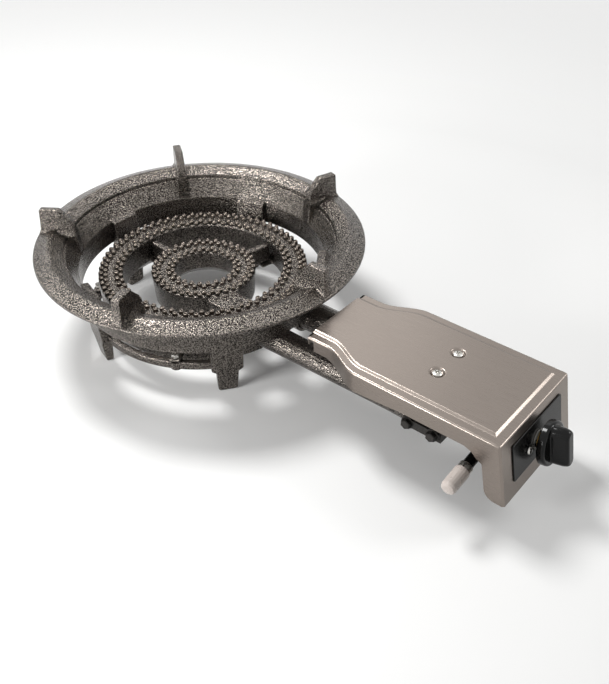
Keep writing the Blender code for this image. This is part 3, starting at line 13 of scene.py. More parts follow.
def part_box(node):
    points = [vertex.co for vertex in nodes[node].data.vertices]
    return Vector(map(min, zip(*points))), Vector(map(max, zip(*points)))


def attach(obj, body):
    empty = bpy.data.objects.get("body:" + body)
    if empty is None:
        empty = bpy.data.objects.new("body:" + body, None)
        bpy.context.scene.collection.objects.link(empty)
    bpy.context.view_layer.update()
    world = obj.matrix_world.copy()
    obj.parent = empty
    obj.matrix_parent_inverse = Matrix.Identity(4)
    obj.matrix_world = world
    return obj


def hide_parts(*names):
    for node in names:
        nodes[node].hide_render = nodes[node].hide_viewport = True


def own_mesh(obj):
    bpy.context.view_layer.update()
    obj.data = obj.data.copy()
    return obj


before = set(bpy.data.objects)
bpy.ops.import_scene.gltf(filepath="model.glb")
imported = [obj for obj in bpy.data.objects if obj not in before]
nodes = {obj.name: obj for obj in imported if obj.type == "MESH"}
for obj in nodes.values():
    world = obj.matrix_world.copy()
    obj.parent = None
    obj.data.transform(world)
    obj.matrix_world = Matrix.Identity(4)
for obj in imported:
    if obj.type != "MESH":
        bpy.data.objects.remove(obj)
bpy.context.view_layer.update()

# ---------------------------------------------------------------- camera
# A short telephoto lens, looking down over the knob side from the left of the burner. The place
# and the lens were fitted to the rim, the feet and the corners of the cover.
camera_place = (-0.52247, -0.43853, 0.56138)
camera_azimuth = radians(50.65)
camera_fall = radians(37.87)
sensor_width = 36.0
focal_length = 46.12
camera_data = bpy.data.cameras.new("studio_camera")
camera_data.sensor_width = sensor_width
camera_data.lens = focal_length
camera = bpy.data.objects.new("studio_camera", camera_data)
bpy.context.scene.collection.objects.link(camera)
camera.location = camera_place
sight = Vector(
    (
        sin(camera_azimuth) * cos(camera_fall),
        cos(camera_azimuth) * cos(camera_fall),
        -sin(camera_fall),
    )
)
camera.rotation_euler = sight.to_track_quat("-Z", "Y").to_euler()
bpy.context.scene.camera = camera
bpy.context.scene.view_settings.view_transform = "Standard"


# ---------------------------------------------------------------- floor and light
# Matt white paper under the burner, in a dim white room. A softbox above the far side and one low
# on the left give most of the light, and two weaker ones light the neck and the knob's side. To the
# camera and in reflections the room is fully white, and the paper brightens with the distance.
def linear(hex_colour):
    """An sRGB hex colour as the linear colour, with alpha, that a shader takes."""
    channels = [int(hex_colour[k : k + 2], 16) / 255 for k in (1, 3, 5)]
    curved = [c / 12.92 if c <= 0.04045 else ((c + 0.055) / 1.055) ** 2.4 for c in channels]
    return (*curved, 1.0)


def add_node(tree, kind, inputs=None, **settings):
    """One node with its settings. An input takes a plain value, or another node's output."""
    node = tree.nodes.new(kind)
    for name, value in settings.items():
        setattr(node, name, value)
    for name, value in (inputs or {}).items():
        if isinstance(value, bpy.types.NodeSocket):
            tree.links.new(value, node.inputs[name])
        else:
            node.inputs[name].default_value = value
    return node


def seen_directly(tree):
    """1 for rays from the camera and for reflected and refracted rays, 0 for diffuse light."""
    light_path = add_node(tree, "ShaderNodeLightPath")
    shown = add_node(
        tree,
        "ShaderNodeMath",
        {0: light_path.outputs["Is Camera Ray"], 1: light_path.outputs["Is Glossy Ray"]},
        operation="MAXIMUM",
    )
    seen = add_node(
        tree,
        "ShaderNodeMath",
        {0: shown.outputs[0], 1: light_path.outputs["Is Transmission Ray"]},
        operation="MAXIMUM",
    )
    return seen.outputs[0]


paper_white = "#EDEDEC"
pure_white = (1.0, 1.0, 1.0, 1.0)
near_glow = 0.06
far_glow = 0.9
near_reach = 0.6
far_reach = 2.4
paper_side = 8.0
# uncoated white card: no shine at all
paper = bpy.data.materials.new("white_paper")
paper.use_nodes = True
tree = paper.node_tree
paper_shader = tree.nodes["Principled BSDF"]
paper_shader.inputs["Base Color"].default_value = linear(paper_white)
paper_shader.inputs["Roughness"].default_value = 0.9
paper_shader.inputs["Specular IOR Level"].default_value = 0.1
paper_shader.inputs["Emission Color"].default_value = pure_white
spot = add_node(tree, "ShaderNodeTexCoord").outputs["Object"]
reach = add_node(tree, "ShaderNodeVectorMath", {0: spot}, operation="LENGTH")
brightening = add_node(
    tree,
    "ShaderNodeMapRange",
    {
        "Value": reach.outputs["Value"],
        "From Min": near_reach,
        "From Max": far_reach,
        "To Min": near_glow,
        "To Max": far_glow,
    },
)
glow = add_node(
    tree,
    "ShaderNodeMath",
    {0: seen_directly(tree), 1: brightening.outputs[0]},
    operation="MULTIPLY",
)
tree.links.new(glow.outputs[0], paper_shader.inputs["Emission Strength"])

bpy.ops.object.select_all(action="DESELECT")
bpy.ops.mesh.primitive_plane_add(size=paper_side, location=(0.0, 0.0, 0.0))
floor = bpy.context.object
floor.name = "paper_floor"
floor.data.materials.append(paper)

room = bpy.data.worlds.new("studio_room")
bpy.context.scene.world = room
room.use_nodes = True
tree = room.node_tree
room_level = 0.22
level = add_node(
    tree,
    "ShaderNodeMapRange",
    {"Value": seen_directly(tree), "To Min": room_level, "To Max": 1.0},
)
background = tree.nodes["Background"]
background.inputs["Color"].default_value = pure_white
tree.links.new(level.outputs[0], background.inputs["Strength"])

lamp_target = Vector((0.0, 0.0, 0.06))
# name, place, width in metres, power in watts
softboxes = (
    ("back_softbox", (0.06, 0.60, 1.14), 0.42, 12.5),
    ("left_softbox", (-1.05, 0.32, 0.40), 0.42, 11.0),
    ("neck_softbox", (0.80, 0.52, 0.80), 0.5, 0.50),
    ("knob_side_softbox", (0.76, -0.81, 0.88), 0.4, 4.0),
)
for name, place, width, power in softboxes:
    lamp_data = bpy.data.lights.new(name, "AREA")
    lamp_data.shape = "DISK"
    lamp_data.size = width
    lamp_data.energy = power
    lamp = bpy.data.objects.new(name, lamp_data)
    bpy.context.scene.collection.objects.link(lamp)
    lamp.location = place
    aim = lamp_target - Vector(place)
    lamp.rotation_euler = aim.to_track_quat("-Z", "Y").to_euler()


# ---------------------------------------------------------------- hammertone paint
# Grey iron sprayed with one-coat hammer finish: aluminium flakes float in a dark varnish and draw
# together into small bright islands with dark veins between them. It is glossy and slightly dimpled.
vein_colour = "#211E1C"
flake_colour = "#8D867F"
island_size = 0.0011
dimple_size = 0.0012
dimple_depth = 0.0003


def new_material(name):
    """A new material with its node tree and its shader."""
    material = bpy.data.materials.new(name)
    material.use_nodes = True
    return material, material.node_tree, material.node_tree.nodes["Principled BSDF"]


hammertone, tree, shader = new_material("hammertone_iron")
place = add_node(tree, "ShaderNodeTexCoord").outputs["Object"]
islands = add_node(
    tree,
    "ShaderNodeTexNoise",
    {"Vector": place, "Scale": 1 / island_size, "Detail": 2.0, "Roughness": 0.7, "Distortion": 0.3},
)
flakes = add_node(
    tree,
    "ShaderNodeMapRange",
    {"Value": islands.outputs[0], "From Min": 0.45, "From Max": 0.60, "To Min": 0.0, "To Max": 1.0},
)
paint = add_node(
    tree,
    "ShaderNodeMix",
    {0: flakes.outputs[0], 6: linear(vein_colour), 7: linear(flake_colour)},
    data_type="RGBA",
)
dimples = add_node(
    tree,
    "ShaderNodeTexVoronoi",
    {"Vector": place, "Scale": 1 / dimple_size, "Smoothness": 0.6},
    feature="SMOOTH_F1",
)
height = add_node(
    tree,
    "ShaderNodeMath",
    {0: dimples.outputs["Distance"], 1: flakes.outputs[0]},
    operation="ADD",
)
bump = add_node(
    tree,
    "ShaderNodeBump",
    {"Height": height.outputs[0], "Strength": 0.45, "Distance": dimple_depth},
)
sheen_range = add_node(
    tree,
    "ShaderNodeMapRange",
    {"Value": flakes.outputs[0], "To Min": 0.19, "To Max": 0.26},
)
tree.links.new(paint.outputs[2], shader.inputs["Base Color"])
tree.links.new(bump.outputs[0], shader.inputs["Normal"])
tree.links.new(sheen_range.outputs[0], shader.inputs["Roughness"])
shader.inputs["Metallic"].default_value = 0.9

# ---------------------------------------------------------------- the stand
# Pan ring, pan lugs, legs and the open tie ring are poured as one grey-iron casting in green sand.
# The ring's section has a low crest, a small groove and a deep cone. The sand rounds every edge of
# the lugs and legs, and all of them run into the ring.
stand_low, stand_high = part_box("stand_frame")
centre = Vector(((stand_low.x + stand_high.x) / 2, (stand_low.y + stand_high.y) / 2, 0.0))
spokes = 5
rim_radius = 0.165
rim_edge = 0.104
rim_bottom = 0.0985
crest_radius = 0.1495
crest_top = 0.1093
ledge_radius = 0.1364
ledge_top = 0.1033
throat_radius = 0.124
skirt_radius = 0.130
dish_bottom = 0.081
skirt_bottom = 0.0575
pan_ring_outline = (
    (rim_radius, rim_bottom + 0.0026),
    (rim_radius, rim_edge - 0.0010),
    (rim_radius - 0.0010, rim_edge + 0.0003),
    (crest_radius + 0.0030, crest_top - 0.0009),
    (crest_radius, crest_top),
    (crest_radius - 0.0025, crest_top - 0.0009),
    (ledge_radius + 0.0010, ledge_top + 0.0004),
    (ledge_radius + 0.0002, ledge_top),
    (ledge_radius, ledge_top - 0.0008),
    (ledge_radius - 0.0002, ledge_top - 0.0036),
    (ledge_radius - 0.0012, ledge_top - 0.0032),
    (ledge_radius - 0.0020, ledge_top - 0.0036),
    (ledge_radius - 0.0026, ledge_top - 0.0044),
    (throat_radius + 0.0006, dish_bottom + 0.0011),
    (throat_radius, dish_bottom - 0.0004),
    (throat_radius, skirt_bottom + 0.0007),
    (throat_radius + 0.0007, skirt_bottom),
    (skirt_radius, skirt_bottom),
    (skirt_radius, dish_bottom - 0.0015),
    (ledge_radius + 0.0076, rim_bottom),
    (rim_radius - 0.0014, rim_bottom + 0.0014),
)
ring_steps = 200
lug_angle = 54.0
# each row is height, inner and outer distance from the axis, and width
lug_rows = (
    (0.0820, 0.1244, 0.1270, 0.0130),
    (0.1012, 0.1258, 0.1625, 0.0130),
    (0.1054, 0.1262, 0.1635, 0.0130),
    (0.1089, 0.1267, 0.1620, 0.0093),
    (0.1165, 0.1278, 0.1613, 0.0088),
    (0.1298, 0.1405, 0.1605, 0.0085),
    (0.1310, 0.1421, 0.1595, 0.0067),
)
leg_angle = 18.0
leg_rows = (
    (0.0000, 0.1130, 0.1182, 0.0147),
    (0.0022, 0.1120, 0.1192, 0.0191),
    (0.0250, 0.1108, 0.1226, 0.0215),
    (0.0282, 0.1108, 0.1228, 0.0310),
    (0.0630, 0.1148, 0.1255, 0.0314),
    (0.0825, 0.1172, 0.1315, 0.0316),
    (0.0840, 0.1253, 0.1320, 0.0304),
    (0.0905, 0.1345, 0.1385, 0.0270),
)
tie_inner = 0.111
tie_outer = 0.1175
tie_bottom = 0.027
tie_top = 0.035
tie_outline = (
    (tie_inner, tie_bottom),
    (tie_outer, tie_bottom),
    (tie_outer, tie_top),
    (tie_inner, tie_top),
)
tie_steps = 120
tie_start = 234.0
tie_sweep = 288.0
tie_boss_radius = 0.0058
bolt_circle = 0.1135
bolt_angles = (54.0, 126.0, 210.0, 330.0)
cast_edge = 0.0012
sharp_above = 40.0
smooth_below = 50.0


def spun(outline, steps, through=None, sweep=360.0, start=0.0):
    """A ring turned about an upright axis from a closed outline of (distance from it, height)."""
    through = centre if through is None else Vector(through)
    whole = sweep > 359.0
    bpy.ops.object.select_all(action="DESELECT")
    bpy.ops.mesh.primitive_circle_add(vertices=len(outline), fill_type="NOTHING" if whole else "NGON")
    ring = bpy.context.object
    for corner, (out, height) in zip(ring.data.vertices, outline):
        corner.co = Vector((out * cos(radians(start)), out * sin(radians(start)), height)) + through
    bpy.ops.object.mode_set(mode="EDIT")
    bpy.ops.mesh.select_all(action="SELECT")
    bpy.ops.mesh.spin(steps=steps, angle=radians(sweep), center=through, axis=(0.0, 0.0, 1.0))
    bpy.ops.mesh.select_all(action="SELECT")
    bpy.ops.mesh.remove_doubles(threshold=0.000005)
    bpy.ops.mesh.normals_make_consistent(inside=False)
    bpy.ops.object.mode_set(mode="OBJECT")
    return ring


def skinned(rows):
    """A closed skin drawn through rows of points, all with the same number, filled at both ends."""
    bpy.ops.object.select_all(action="DESELECT")
    bpy.ops.mesh.primitive_circle_add(vertices=len(rows[0]), fill_type="NGON")
    skin = bpy.context.object
    bpy.ops.object.mode_set(mode="EDIT")
    shape = bmesh.from_edit_mesh(skin.data)
    order = shape.verts.layers.int.new("order")
    for place, corner in enumerate(shape.verts):
        corner[order] = place
    for number, row in enumerate(rows):
        if number:
            bpy.ops.mesh.extrude_region_move()
        shape = bmesh.from_edit_mesh(skin.data)
        order = shape.verts.layers.int["order"]
        for corner in (v for v in shape.verts if v.select):
            corner.co = row[corner[order]]
        bmesh.update_edit_mesh(skin.data)
    bpy.ops.mesh.select_all(action="SELECT")
    bpy.ops.mesh.remove_doubles(threshold=0.000002)
    bpy.ops.mesh.normals_make_consistent(inside=False)
    bpy.ops.object.mode_set(mode="OBJECT")
    return skin


def circle_row(radius, height, sides):
    """A level circle of points about the Z axis."""
    turns = [2 * pi * k / sides for k in range(sides)]
    return [(radius * cos(turn), radius * sin(turn), height) for turn in turns]


def built_up(rows):
    """A block on the +X spoke, drawn up from its foot: rows are (height, inner, outer, width)."""
    return skinned(
        [
            [
                (inner, -width / 2, height),
                (outer, -width / 2, height),
                (outer, width / 2, height),
                (inner, width / 2, height),
            ]
            for height, inner, outer, width in rows
        ]
    )


def on_spokes(block, angles):
    """Copies of a block on the +X spoke, each with its own mesh, turned about the burner's centre."""
    copies = []
    for angle in angles:
        copy = block.copy()
        copy.data = block.data.copy()
        copy.data.transform(Matrix.Translation(centre) @ Matrix.Rotation(radians(angle), 4, "Z"))
        bpy.context.scene.collection.objects.link(copy)
        copies.append(copy)
    bpy.data.objects.remove(block)
    return copies


def select_only(*pieces):
    """Selects these pieces and nothing else, with the first one active."""
    bpy.ops.object.select_all(action="DESELECT")
    for piece in pieces:
        piece.select_set(True)
    bpy.context.view_layer.objects.active = pieces[0]


def joined(name, parts):
    """Several meshes as one object at the origin."""
    select_only(*parts)
    bpy.ops.object.transform_apply(location=True, rotation=True, scale=True)
    if len(parts) > 1:
        bpy.ops.object.join()
    whole = bpy.context.object
    whole.name = name
    whole.data.name = name
    return whole


def apply_modifier(piece, kind, **settings):
    """Puts one modifier on a piece, with its settings, and applies it."""
    select_only(piece)
    modifier = piece.modifiers.new(kind.lower(), kind)
    for name, value in settings.items():
        setattr(modifier, name, value)
    bpy.ops.object.modifier_apply(modifier=modifier.name)


def finish_piece(piece, material, body, slot, *replaced):
    """Gives a finished mesh its material, its body and the CAD nodes it stands for; its slot is not
    used.
    """
    piece.data.materials.clear()
    piece.data.materials.append(material)
    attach(piece, body)
    if replaced:
        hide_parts(*replaced)


def rounded_edges(piece):
    """Rounds the sharp edges of a block as loose sand leaves them."""
    apply_modifier(
        piece,
        "BEVEL",
        width=cast_edge,
        segments=2,
        limit_method="ANGLE",
        angle_limit=radians(sharp_above),
    )
    return piece


def smooth_edges(piece, limit):
    """Smooth shading up to a limit in degrees, with flat faces kept flat."""
    select_only(piece)
    bpy.ops.object.shade_smooth_by_angle(angle=radians(limit))
    apply_modifier(piece, "WEIGHTED_NORMAL", keep_sharp=True)


around = [360.0 * k / spokes for k in range(spokes)]
limbs = on_spokes(rounded_edges(built_up(lug_rows)), [lug_angle + turn for turn in around])
limbs += on_spokes(rounded_edges(built_up(leg_rows)), [leg_angle + turn for turn in around])
limbs.append(rounded_edges(spun(tie_outline, tie_steps, sweep=tie_sweep, start=tie_start)))
for angle in bolt_angles:
    bpy.ops.object.select_all(action="DESELECT")
    bpy.ops.mesh.primitive_cylinder_add(
        vertices=24,
        radius=tie_boss_radius,
        depth=tie_top - tie_bottom,
        location=(
            centre.x + bolt_circle * cos(radians(angle)),
            centre.y + bolt_circle * sin(radians(angle)),
            (tie_bottom + tie_top) / 2,
        ),
    )
    limbs.append(bpy.context.object)
limbs = joined("stand_limbs", limbs)
stand = joined("stand_casting", [spun(pan_ring_outline, ring_steps)])
apply_modifier(stand, "BOOLEAN", operation="UNION", object=limbs, solver="EXACT", use_self=True)
bpy.data.objects.remove(limbs)
smooth_edges(stand, smooth_below)
finish_piece(stand, hammertone, "stove", "hammertone_iron", "stand_frame")

# ---------------------------------------------------------------- burner studs
# Round nipples cast on top of both rings. Each is drilled down the middle, and gas comes out there.
# Their coat of paint is thinner than that of the iron around them and lies even, and it is coloured
# lighter than the iron as a painted highlight on their rims.
stud_radius = 0.0026
stud_height = 0.0034
jet_radius = 0.0011
stud_sides = 10
stud_foot = 0.0005
stud_outline = (
    (stud_radius + 0.0002, -0.0006),
    (stud_radius, 0.0004),
    (stud_radius - 0.0001, stud_height - 0.0009),
    (stud_radius - 0.0006, stud_height - 0.0001),
    (jet_radius + 0.0002, stud_height),
    (jet_radius, stud_height - 0.0003),
    (jet_radius * 0.8, stud_height - 0.0024),
)

# the same hammer finish in a thin coat: no islands form, so it is even, with a soft mottle; both colours
# are set lighter than the iron's as painted highlight
stud_dark_with_painted_highlight = "#48423D"
stud_bright_with_painted_highlight = "#968D84"
mottle_size = 0.002
stud_coat_with_painted_highlight, tree, shader = new_material("thin_coat_with_painted_highlight_on_studs")
place = add_node(tree, "ShaderNodeTexCoord").outputs["Object"]
mottle = add_node(tree, "ShaderNodeTexNoise", {"Vector": place, "Scale": 1 / mottle_size, "Detail": 2.0})
stud_tint_with_painted_highlight = add_node(
    tree,
    "ShaderNodeMix",
    {0: mottle.outputs[0], 6: linear(stud_dark_with_painted_highlight), 7: linear(stud_bright_with_painted_highlight)},
    data_type="RGBA",
)
# the studs' lighter colour is a painted highlight for the bright rims they catch
tree.links.new(stud_tint_with_painted_highlight.outputs[2], shader.inputs["Base Color"])
shader.inputs["Metallic"].default_value = 0.9
shader.inputs["Roughness"].default_value = 0.22


def make_stud(top):
    """One stud on the axis of the burner, standing on a ring top."""
    stud = skinned([circle_row(radius, top + height, stud_sides) for radius, height in stud_outline])
    bpy.ops.object.shade_smooth()
    return stud


def studs_on(top, rows):
    """Rows of studs as a list of objects. Rows are (radius, count, share of a step turned)."""
    pattern = make_stud(top)
    studs = []
    for radius, count, stagger in rows:
        for k in range(count):
            angle = 2 * pi * (k + stagger) / count
            spot = Vector((radius * cos(angle), radius * sin(angle), 0.0))
            copy = pattern.copy()
            copy.data = pattern.data.copy()
            copy.data.transform(Matrix.Translation(centre + spot))
            bpy.context.scene.collection.objects.link(copy)
            studs.append(copy)
    bpy.data.objects.remove(pattern)
    return studs


def coat_studs_with_painted_highlight(piece, top):
    """Gives the studs above a ring top their own thin paint, coloured lighter as a painted highlight."""
    piece.data.materials.append(stud_coat_with_painted_highlight)
    for face in piece.data.polygons:
        if face.center.z > top + stud_foot:
            face.material_index = 1


# ---------------------------------------------------------------- outer burner ring
# A heavy ring in the same iron, on four feet bolted to the tie ring, with the socket of its own tube
# at the front and a tunnel where the inner ring's tube goes through. Its casting is rounder than the
# stand's, so its shapes are melted together.
outer_radius = 0.1068
outer_inside = 0.0817
outer_top = 0.0695
outer_heel = 0.042
outer_keel = 0.0275
tube_level = 0.046
outer_tube_x = 0.0277
inner_tube_x = -0.023
foot_rows = (
    (0.0353, 0.1008, 0.1183, 0.0116),
    (0.0393, 0.1008, 0.1183, 0.0116),
)
ledge_rows = (
    (0.0415, 0.0697, 0.0877, 0.0140),
    (0.0455, 0.0697, 0.0877, 0.0140),
)
# each bar is radius, place along X, and its two ends from the burner's centre
outer_socket = (0.019, outer_tube_x, -0.1165, -0.0801)
outer_socket_bore = (0.0158, outer_tube_x, -0.1200, -0.0980)
tunnel = (0.0139, inner_tube_x, -0.1128, -0.0617)
arm_angles = (86.0, -12.0)
outer_ring_outline = (
    (outer_radius, outer_top),
    (outer_inside, outer_top),
    (outer_inside + 0.0016, outer_heel),
    (outer_inside + 0.0161, outer_keel),
    (outer_radius - 0.0016, outer_keel),
)
outer_stud_rows = (
    (0.1040, 70, 0.0),
    (0.0996, 70, 0.5),
    (0.0886, 54, 0.0),
    (0.0843, 54, 0.5),
)
outer_ring_steps = 160
burner_grain = 0.0012
burner_softness = 2


def level_bar(radius, x, back, front):
    """A round bar along Y at the tubes' level, between two distances from the burner's centre."""
    bpy.ops.object.select_all(action="DESELECT")
    bpy.ops.mesh.primitive_cylinder_add(
        vertices=48,
        radius=radius,
        depth=front - back,
        location=(x, centre.y + (front + back) / 2, tube_level),
        rotation=(pi / 2, 0.0, 0.0),
    )
    return bpy.context.object


def bore_out(piece, bar):
    """Cuts a bar's shape out of a piece."""
    apply_modifier(piece, "BOOLEAN", operation="DIFFERENCE", object=bar, solver="FAST")
    bpy.data.objects.remove(bar)


def melt(piece, grain, softness):
    """Runs overlapping shapes together and rounds their edges and roots."""
    apply_modifier(piece, "REMESH", mode="VOXEL", voxel_size=grain, use_smooth_shade=True)
    apply_modifier(piece, "SMOOTH", factor=0.5, iterations=softness)


parts = [spun(outer_ring_outline, outer_ring_steps)]
parts += on_spokes(built_up(foot_rows), bolt_angles)
parts += on_spokes(built_up(ledge_rows), arm_angles)
parts.append(level_bar(*outer_socket))
outer_burner = joined("outer_burner_casting", parts)
melt(outer_burner, burner_grain, burner_softness)
for hollow in (outer_socket_bore, tunnel):
    bore_out(outer_burner, level_bar(*hollow))
outer_burner = joined("outer_burner_casting", [outer_burner] + studs_on(outer_top, outer_stud_rows))
finish_piece(outer_burner, hammertone, "stove", "hammertone_iron", "outer_burner")
coat_studs_with_painted_highlight(outer_burner, outer_top)

# ---------------------------------------------------------------- inner burner ring
# The small ring hangs on two upright arms that rest on ledges of the outer ring. A flat-topped
# channel brings its gas across the gap, over the end of the long tube.
inner_radius = 0.0534
inner_inside = 0.0297
inner_top = 0.0665
inner_heel = 0.047
inner_keel = 0.0375
arm_rows = (
    (0.0458, 0.0474, 0.0814, 0.0095),
    (0.0645, 0.0474, 0.0814, 0.0085),
    (0.0655, 0.0474, 0.0804, 0.0065),
)
channel_top = 0.0645
channel_bottom = tube_level - 0.004
channel_width = 0.030
channel_root = -0.042
channel_reach = outer_inside - 0.0003
inner_socket = (0.0171, inner_tube_x, -0.062, -0.0352)
inner_socket_bore = (0.0139, inner_tube_x, -0.0900, -0.0440)
inner_ring_outline = (
    (inner_radius, inner_top),
    (inner_inside, inner_top),
    (inner_inside + 0.0016, inner_heel),
    (inner_inside + 0.0111, inner_keel),
    (inner_radius - 0.0016, inner_keel),
)
inner_stud_rows = (
    (0.0511, 36, 0.0),
    (0.0468, 36, 0.5),
    (0.0363, 24, 0.0),
    (0.0320, 24, 0.5),
)
inner_ring_steps = 120

parts = [spun(inner_ring_outline, inner_ring_steps)]
parts += on_spokes(built_up(arm_rows), arm_angles)
parts.append(level_bar(*inner_socket))
# the channel's front edge follows the outer ring's wall, and it is drawn up to its flat top
bpy.ops.object.select_all(action="DESELECT")
bpy.ops.mesh.primitive_grid_add(x_subdivisions=8, y_subdivisions=1, size=1.0)
channel = bpy.context.object
for corner in channel.data.vertices:
    x = inner_tube_x + corner.co.x * channel_width
    y = channel_root if corner.co.y > 0 else -sqrt(channel_reach**2 - x**2)
    corner.co = centre + Vector((x, y, channel_bottom))
bpy.ops.object.mode_set(mode="EDIT")
bpy.ops.mesh.select_all(action="SELECT")
rise = (0.0, 0.0, channel_top - channel_bottom)
bpy.ops.mesh.extrude_region_move(TRANSFORM_OT_translate={"value": rise})
bpy.ops.mesh.select_all(action="SELECT")
bpy.ops.mesh.normals_make_consistent(inside=False)
bpy.ops.object.mode_set(mode="OBJECT")
parts.append(channel)
inner_burner = joined("inner_burner_casting", parts)
melt(inner_burner, burner_grain, burner_softness)
bore_out(inner_burner, level_bar(*inner_socket_bore))
inner_burner = joined("inner_burner_casting", [inner_burner] + studs_on(inner_top, inner_stud_rows))
finish_piece(inner_burner, hammertone, "stove", "hammertone_iron", "inner_burner")
coat_studs_with_painted_highlight(inner_burner, inner_top)


# ---------------------------------------------------------------- mixing tubes
# Two plain cast tubes carry air and gas from under the cover to the rings. They keep their CAD shape
# and get the paint of the stand.
def repaint(material, names):
    """Gives CAD nodes that keep their shape their real finish."""
    for name in names:
        for material_slot in nodes[name].material_slots:
            material_slot.material = material


repaint(hammertone, ("inner_mixing_tube", "outer_mixing_tube"))

# ---------------------------------------------------------------- control cover
# Ferritic stainless sheet, 1 mm thick, brushed along its length and then pressed: a raised field on
# top, shallow side flanges, a deep front panel, and two dished seats for the screws.
steel_colour = "#898079"
brush_width = 0.0003
brush_length = 0.018
brush_depth = 0.00006
sheet = 0.001
cover_top = 0.0868
neck_y = centre.y - 0.173
front_y = centre.y - 0.3755
neck_half = 0.043
box_half = 0.058
shoulder_y = neck_y - 0.021
shoulder_length = 0.042
shoulder_steps = 16
field_rise = 0.0018
front_depth = 0.0592
front_lean = 0.012
cheek_y = front_y + 0.018
cheek_corner = 0.0085
edge_round = 0.0018
cover_smooth_below = 38.0
neck_notch = 0.0022
neck_flange = 0.0132
box_flange = 0.0198
screw_spots = ((-0.0134, centre.y - 0.290), (0.0200, centre.y - 0.290))

# The brush leaves fine lines along the sheet, which smear its reflections across them. Real ones are
# too fine to show here, so they are drawn a few times as wide.
stainless, tree, shader = new_material("brushed_stainless")
place = add_node(tree, "ShaderNodeTexCoord").outputs["Object"]
stretched = add_node(
    tree,
    "ShaderNodeMapping",
    {"Vector": place, "Scale": (1 / brush_width, 1 / brush_length, 1 / brush_width)},
)
brush = add_node(
    tree,
    "ShaderNodeTexNoise",
    {"Vector": stretched.outputs[0], "Scale": 1.0, "Detail": 3.0},
)
brush_roughness = add_node(
    tree,
    "ShaderNodeMapRange",
    {"Value": brush.outputs[0], "From Min": 0.3, "From Max": 0.7, "To Min": 0.24, "To Max": 0.38},
)
bump = add_node(
    tree,
    "ShaderNodeBump",
    {"Height": brush.outputs[0], "Strength": 0.12, "Distance": brush_depth},
)
tree.links.new(brush_roughness.outputs[0], shader.inputs["Roughness"])
tree.links.new(bump.outputs[0], shader.inputs["Normal"])
shader.inputs["Base Color"].default_value = linear(steel_colour)
shader.inputs["Metallic"].default_value = 1.0


def half_width(y):
    """Half the width of the cover, which swells in an S from the neck to the box."""
    t = min(max((shoulder_y - y) / shoulder_length, 0.0), 1.0)
    return neck_half + (box_half - neck_half) * t * t * (3 - 2 * t)


def cover_stations():
    """Down one side from the neck: (y, depth of the flange, share of the front panel's lean)."""
    stations = [
        (neck_y - 0.0001, neck_notch, 0.0),
        (neck_y - 0.007, neck_notch, 0.0),
        (neck_y - 0.0074, neck_flange, 0.0),
    ]
    for k in range(shoulder_steps + 1):
        t = k / shoulder_steps
        depth = neck_flange + (box_flange - neck_flange) * t
        stations.append((shoulder_y - shoulder_length * t, depth, 0.0))
    box_y = shoulder_y - shoulder_length
    stations += [
        (box_y - 0.026, 0.0179, 0.0),
        (box_y - 0.048, 0.0160, 0.0),
        (cheek_y + 0.0125, 0.0160, 0.0),
        (cheek_y + 0.0070, 0.0185, 0.45),
        (cheek_y + 0.0035, 0.0235, 0.75),
        (cheek_y + 0.0003, 0.0258, 1.0),
    ]
    for k in range(7):
        turn = radians(15.0 * k)
        back = cheek_corner * (1 - cos(turn))
        rise = cheek_corner * (1 - sin(turn))
        stations.append((cheek_y - back, front_depth - rise, 1.0))
    stations.append((front_y + edge_round, front_depth, 1.0))
    return stations


side = cover_stations()
near_side = [(-half_width(y), y, depth, lean) for y, depth, lean in side]
far_side = [(half_width(y), y, depth, lean) for y, depth, lean in reversed(side)]
corner_x = box_half - edge_round
front_corners = [(x, front_y, front_depth, 1.0) for x in (-corner_x, corner_x)]
lip = [(0.0423, neck_y, neck_notch, 0.0), (0.0415, neck_y, 0.009, 0.0)]
lip += [(-x, y, depth, lean) for x, y, depth, lean in reversed(lip)]
cover_outline = near_side + front_corners + far_side + lip


def cover_row(inset, height, open_neck=False):
    """One loop of the cover's skin, set in from its outline. Without a height it is the lower edge."""
    row = []
    for x, y, depth, lean in cover_outline:
        inner_y = min(max(y, front_y + inset), neck_y - (0.0 if open_neck else inset))
        limit = half_width(inner_y) - inset
        inner_x = min(max(x, -limit), limit)
        if height is None:
            forward = lean * depth / front_depth * front_lean
            row.append((inner_x, inner_y - forward, cover_top - depth))
        else:
            row.append((inner_x, inner_y, height))
    return row


field_top = cover_top + field_rise
rows = [
    cover_row(0.0122, field_top, True),
    cover_row(0.0113, field_top - 0.0001, True),
    cover_row(0.0106, field_top - 0.0004, True),
    cover_row(0.0092, cover_top + 0.0005, True),
    cover_row(0.0085, cover_top + 0.0001, True),
    cover_row(0.0078, cover_top, True),
    cover_row(edge_round + 0.0004, cover_top, True),
    cover_row(edge_round, cover_top),
    cover_row(edge_round * 0.5, cover_top - edge_round * 0.13),
    cover_row(edge_round * 0.13, cover_top - edge_round * 0.5),
    cover_row(0.0, cover_top - edge_round),
    cover_row(0.0, None),
    cover_row(sheet, None),
    cover_row(sheet, cover_top - edge_round),
    cover_row(0.0085 + sheet, cover_top - sheet),
    cover_row(0.0113 + sheet, field_top - sheet),
]
cover = skinned(rows)
dimple_reach = 0.0077
dimple_overlap = 0.00002
dimple_steps = 48
hole_half = 0.004
dimple_outline = (
    (dimple_reach, field_top),
    (0.0070, field_top - 0.0001),
    (0.0064, field_top - 0.0005),
    (0.0059, field_top - 0.0012),
    (0.0054, field_top - 0.0019),
    (0.0047, field_top - 0.0022),
    (0.0023, field_top - 0.0022),
    (0.0023, field_top - 0.0032),
    (0.0049, field_top - 0.0032),
    (0.0062, field_top - 0.0026),
    (0.0068, field_top - 0.0016),
    (0.0072, field_top - 0.0011),
    (dimple_reach, field_top - sheet),
)
parts = [cover]
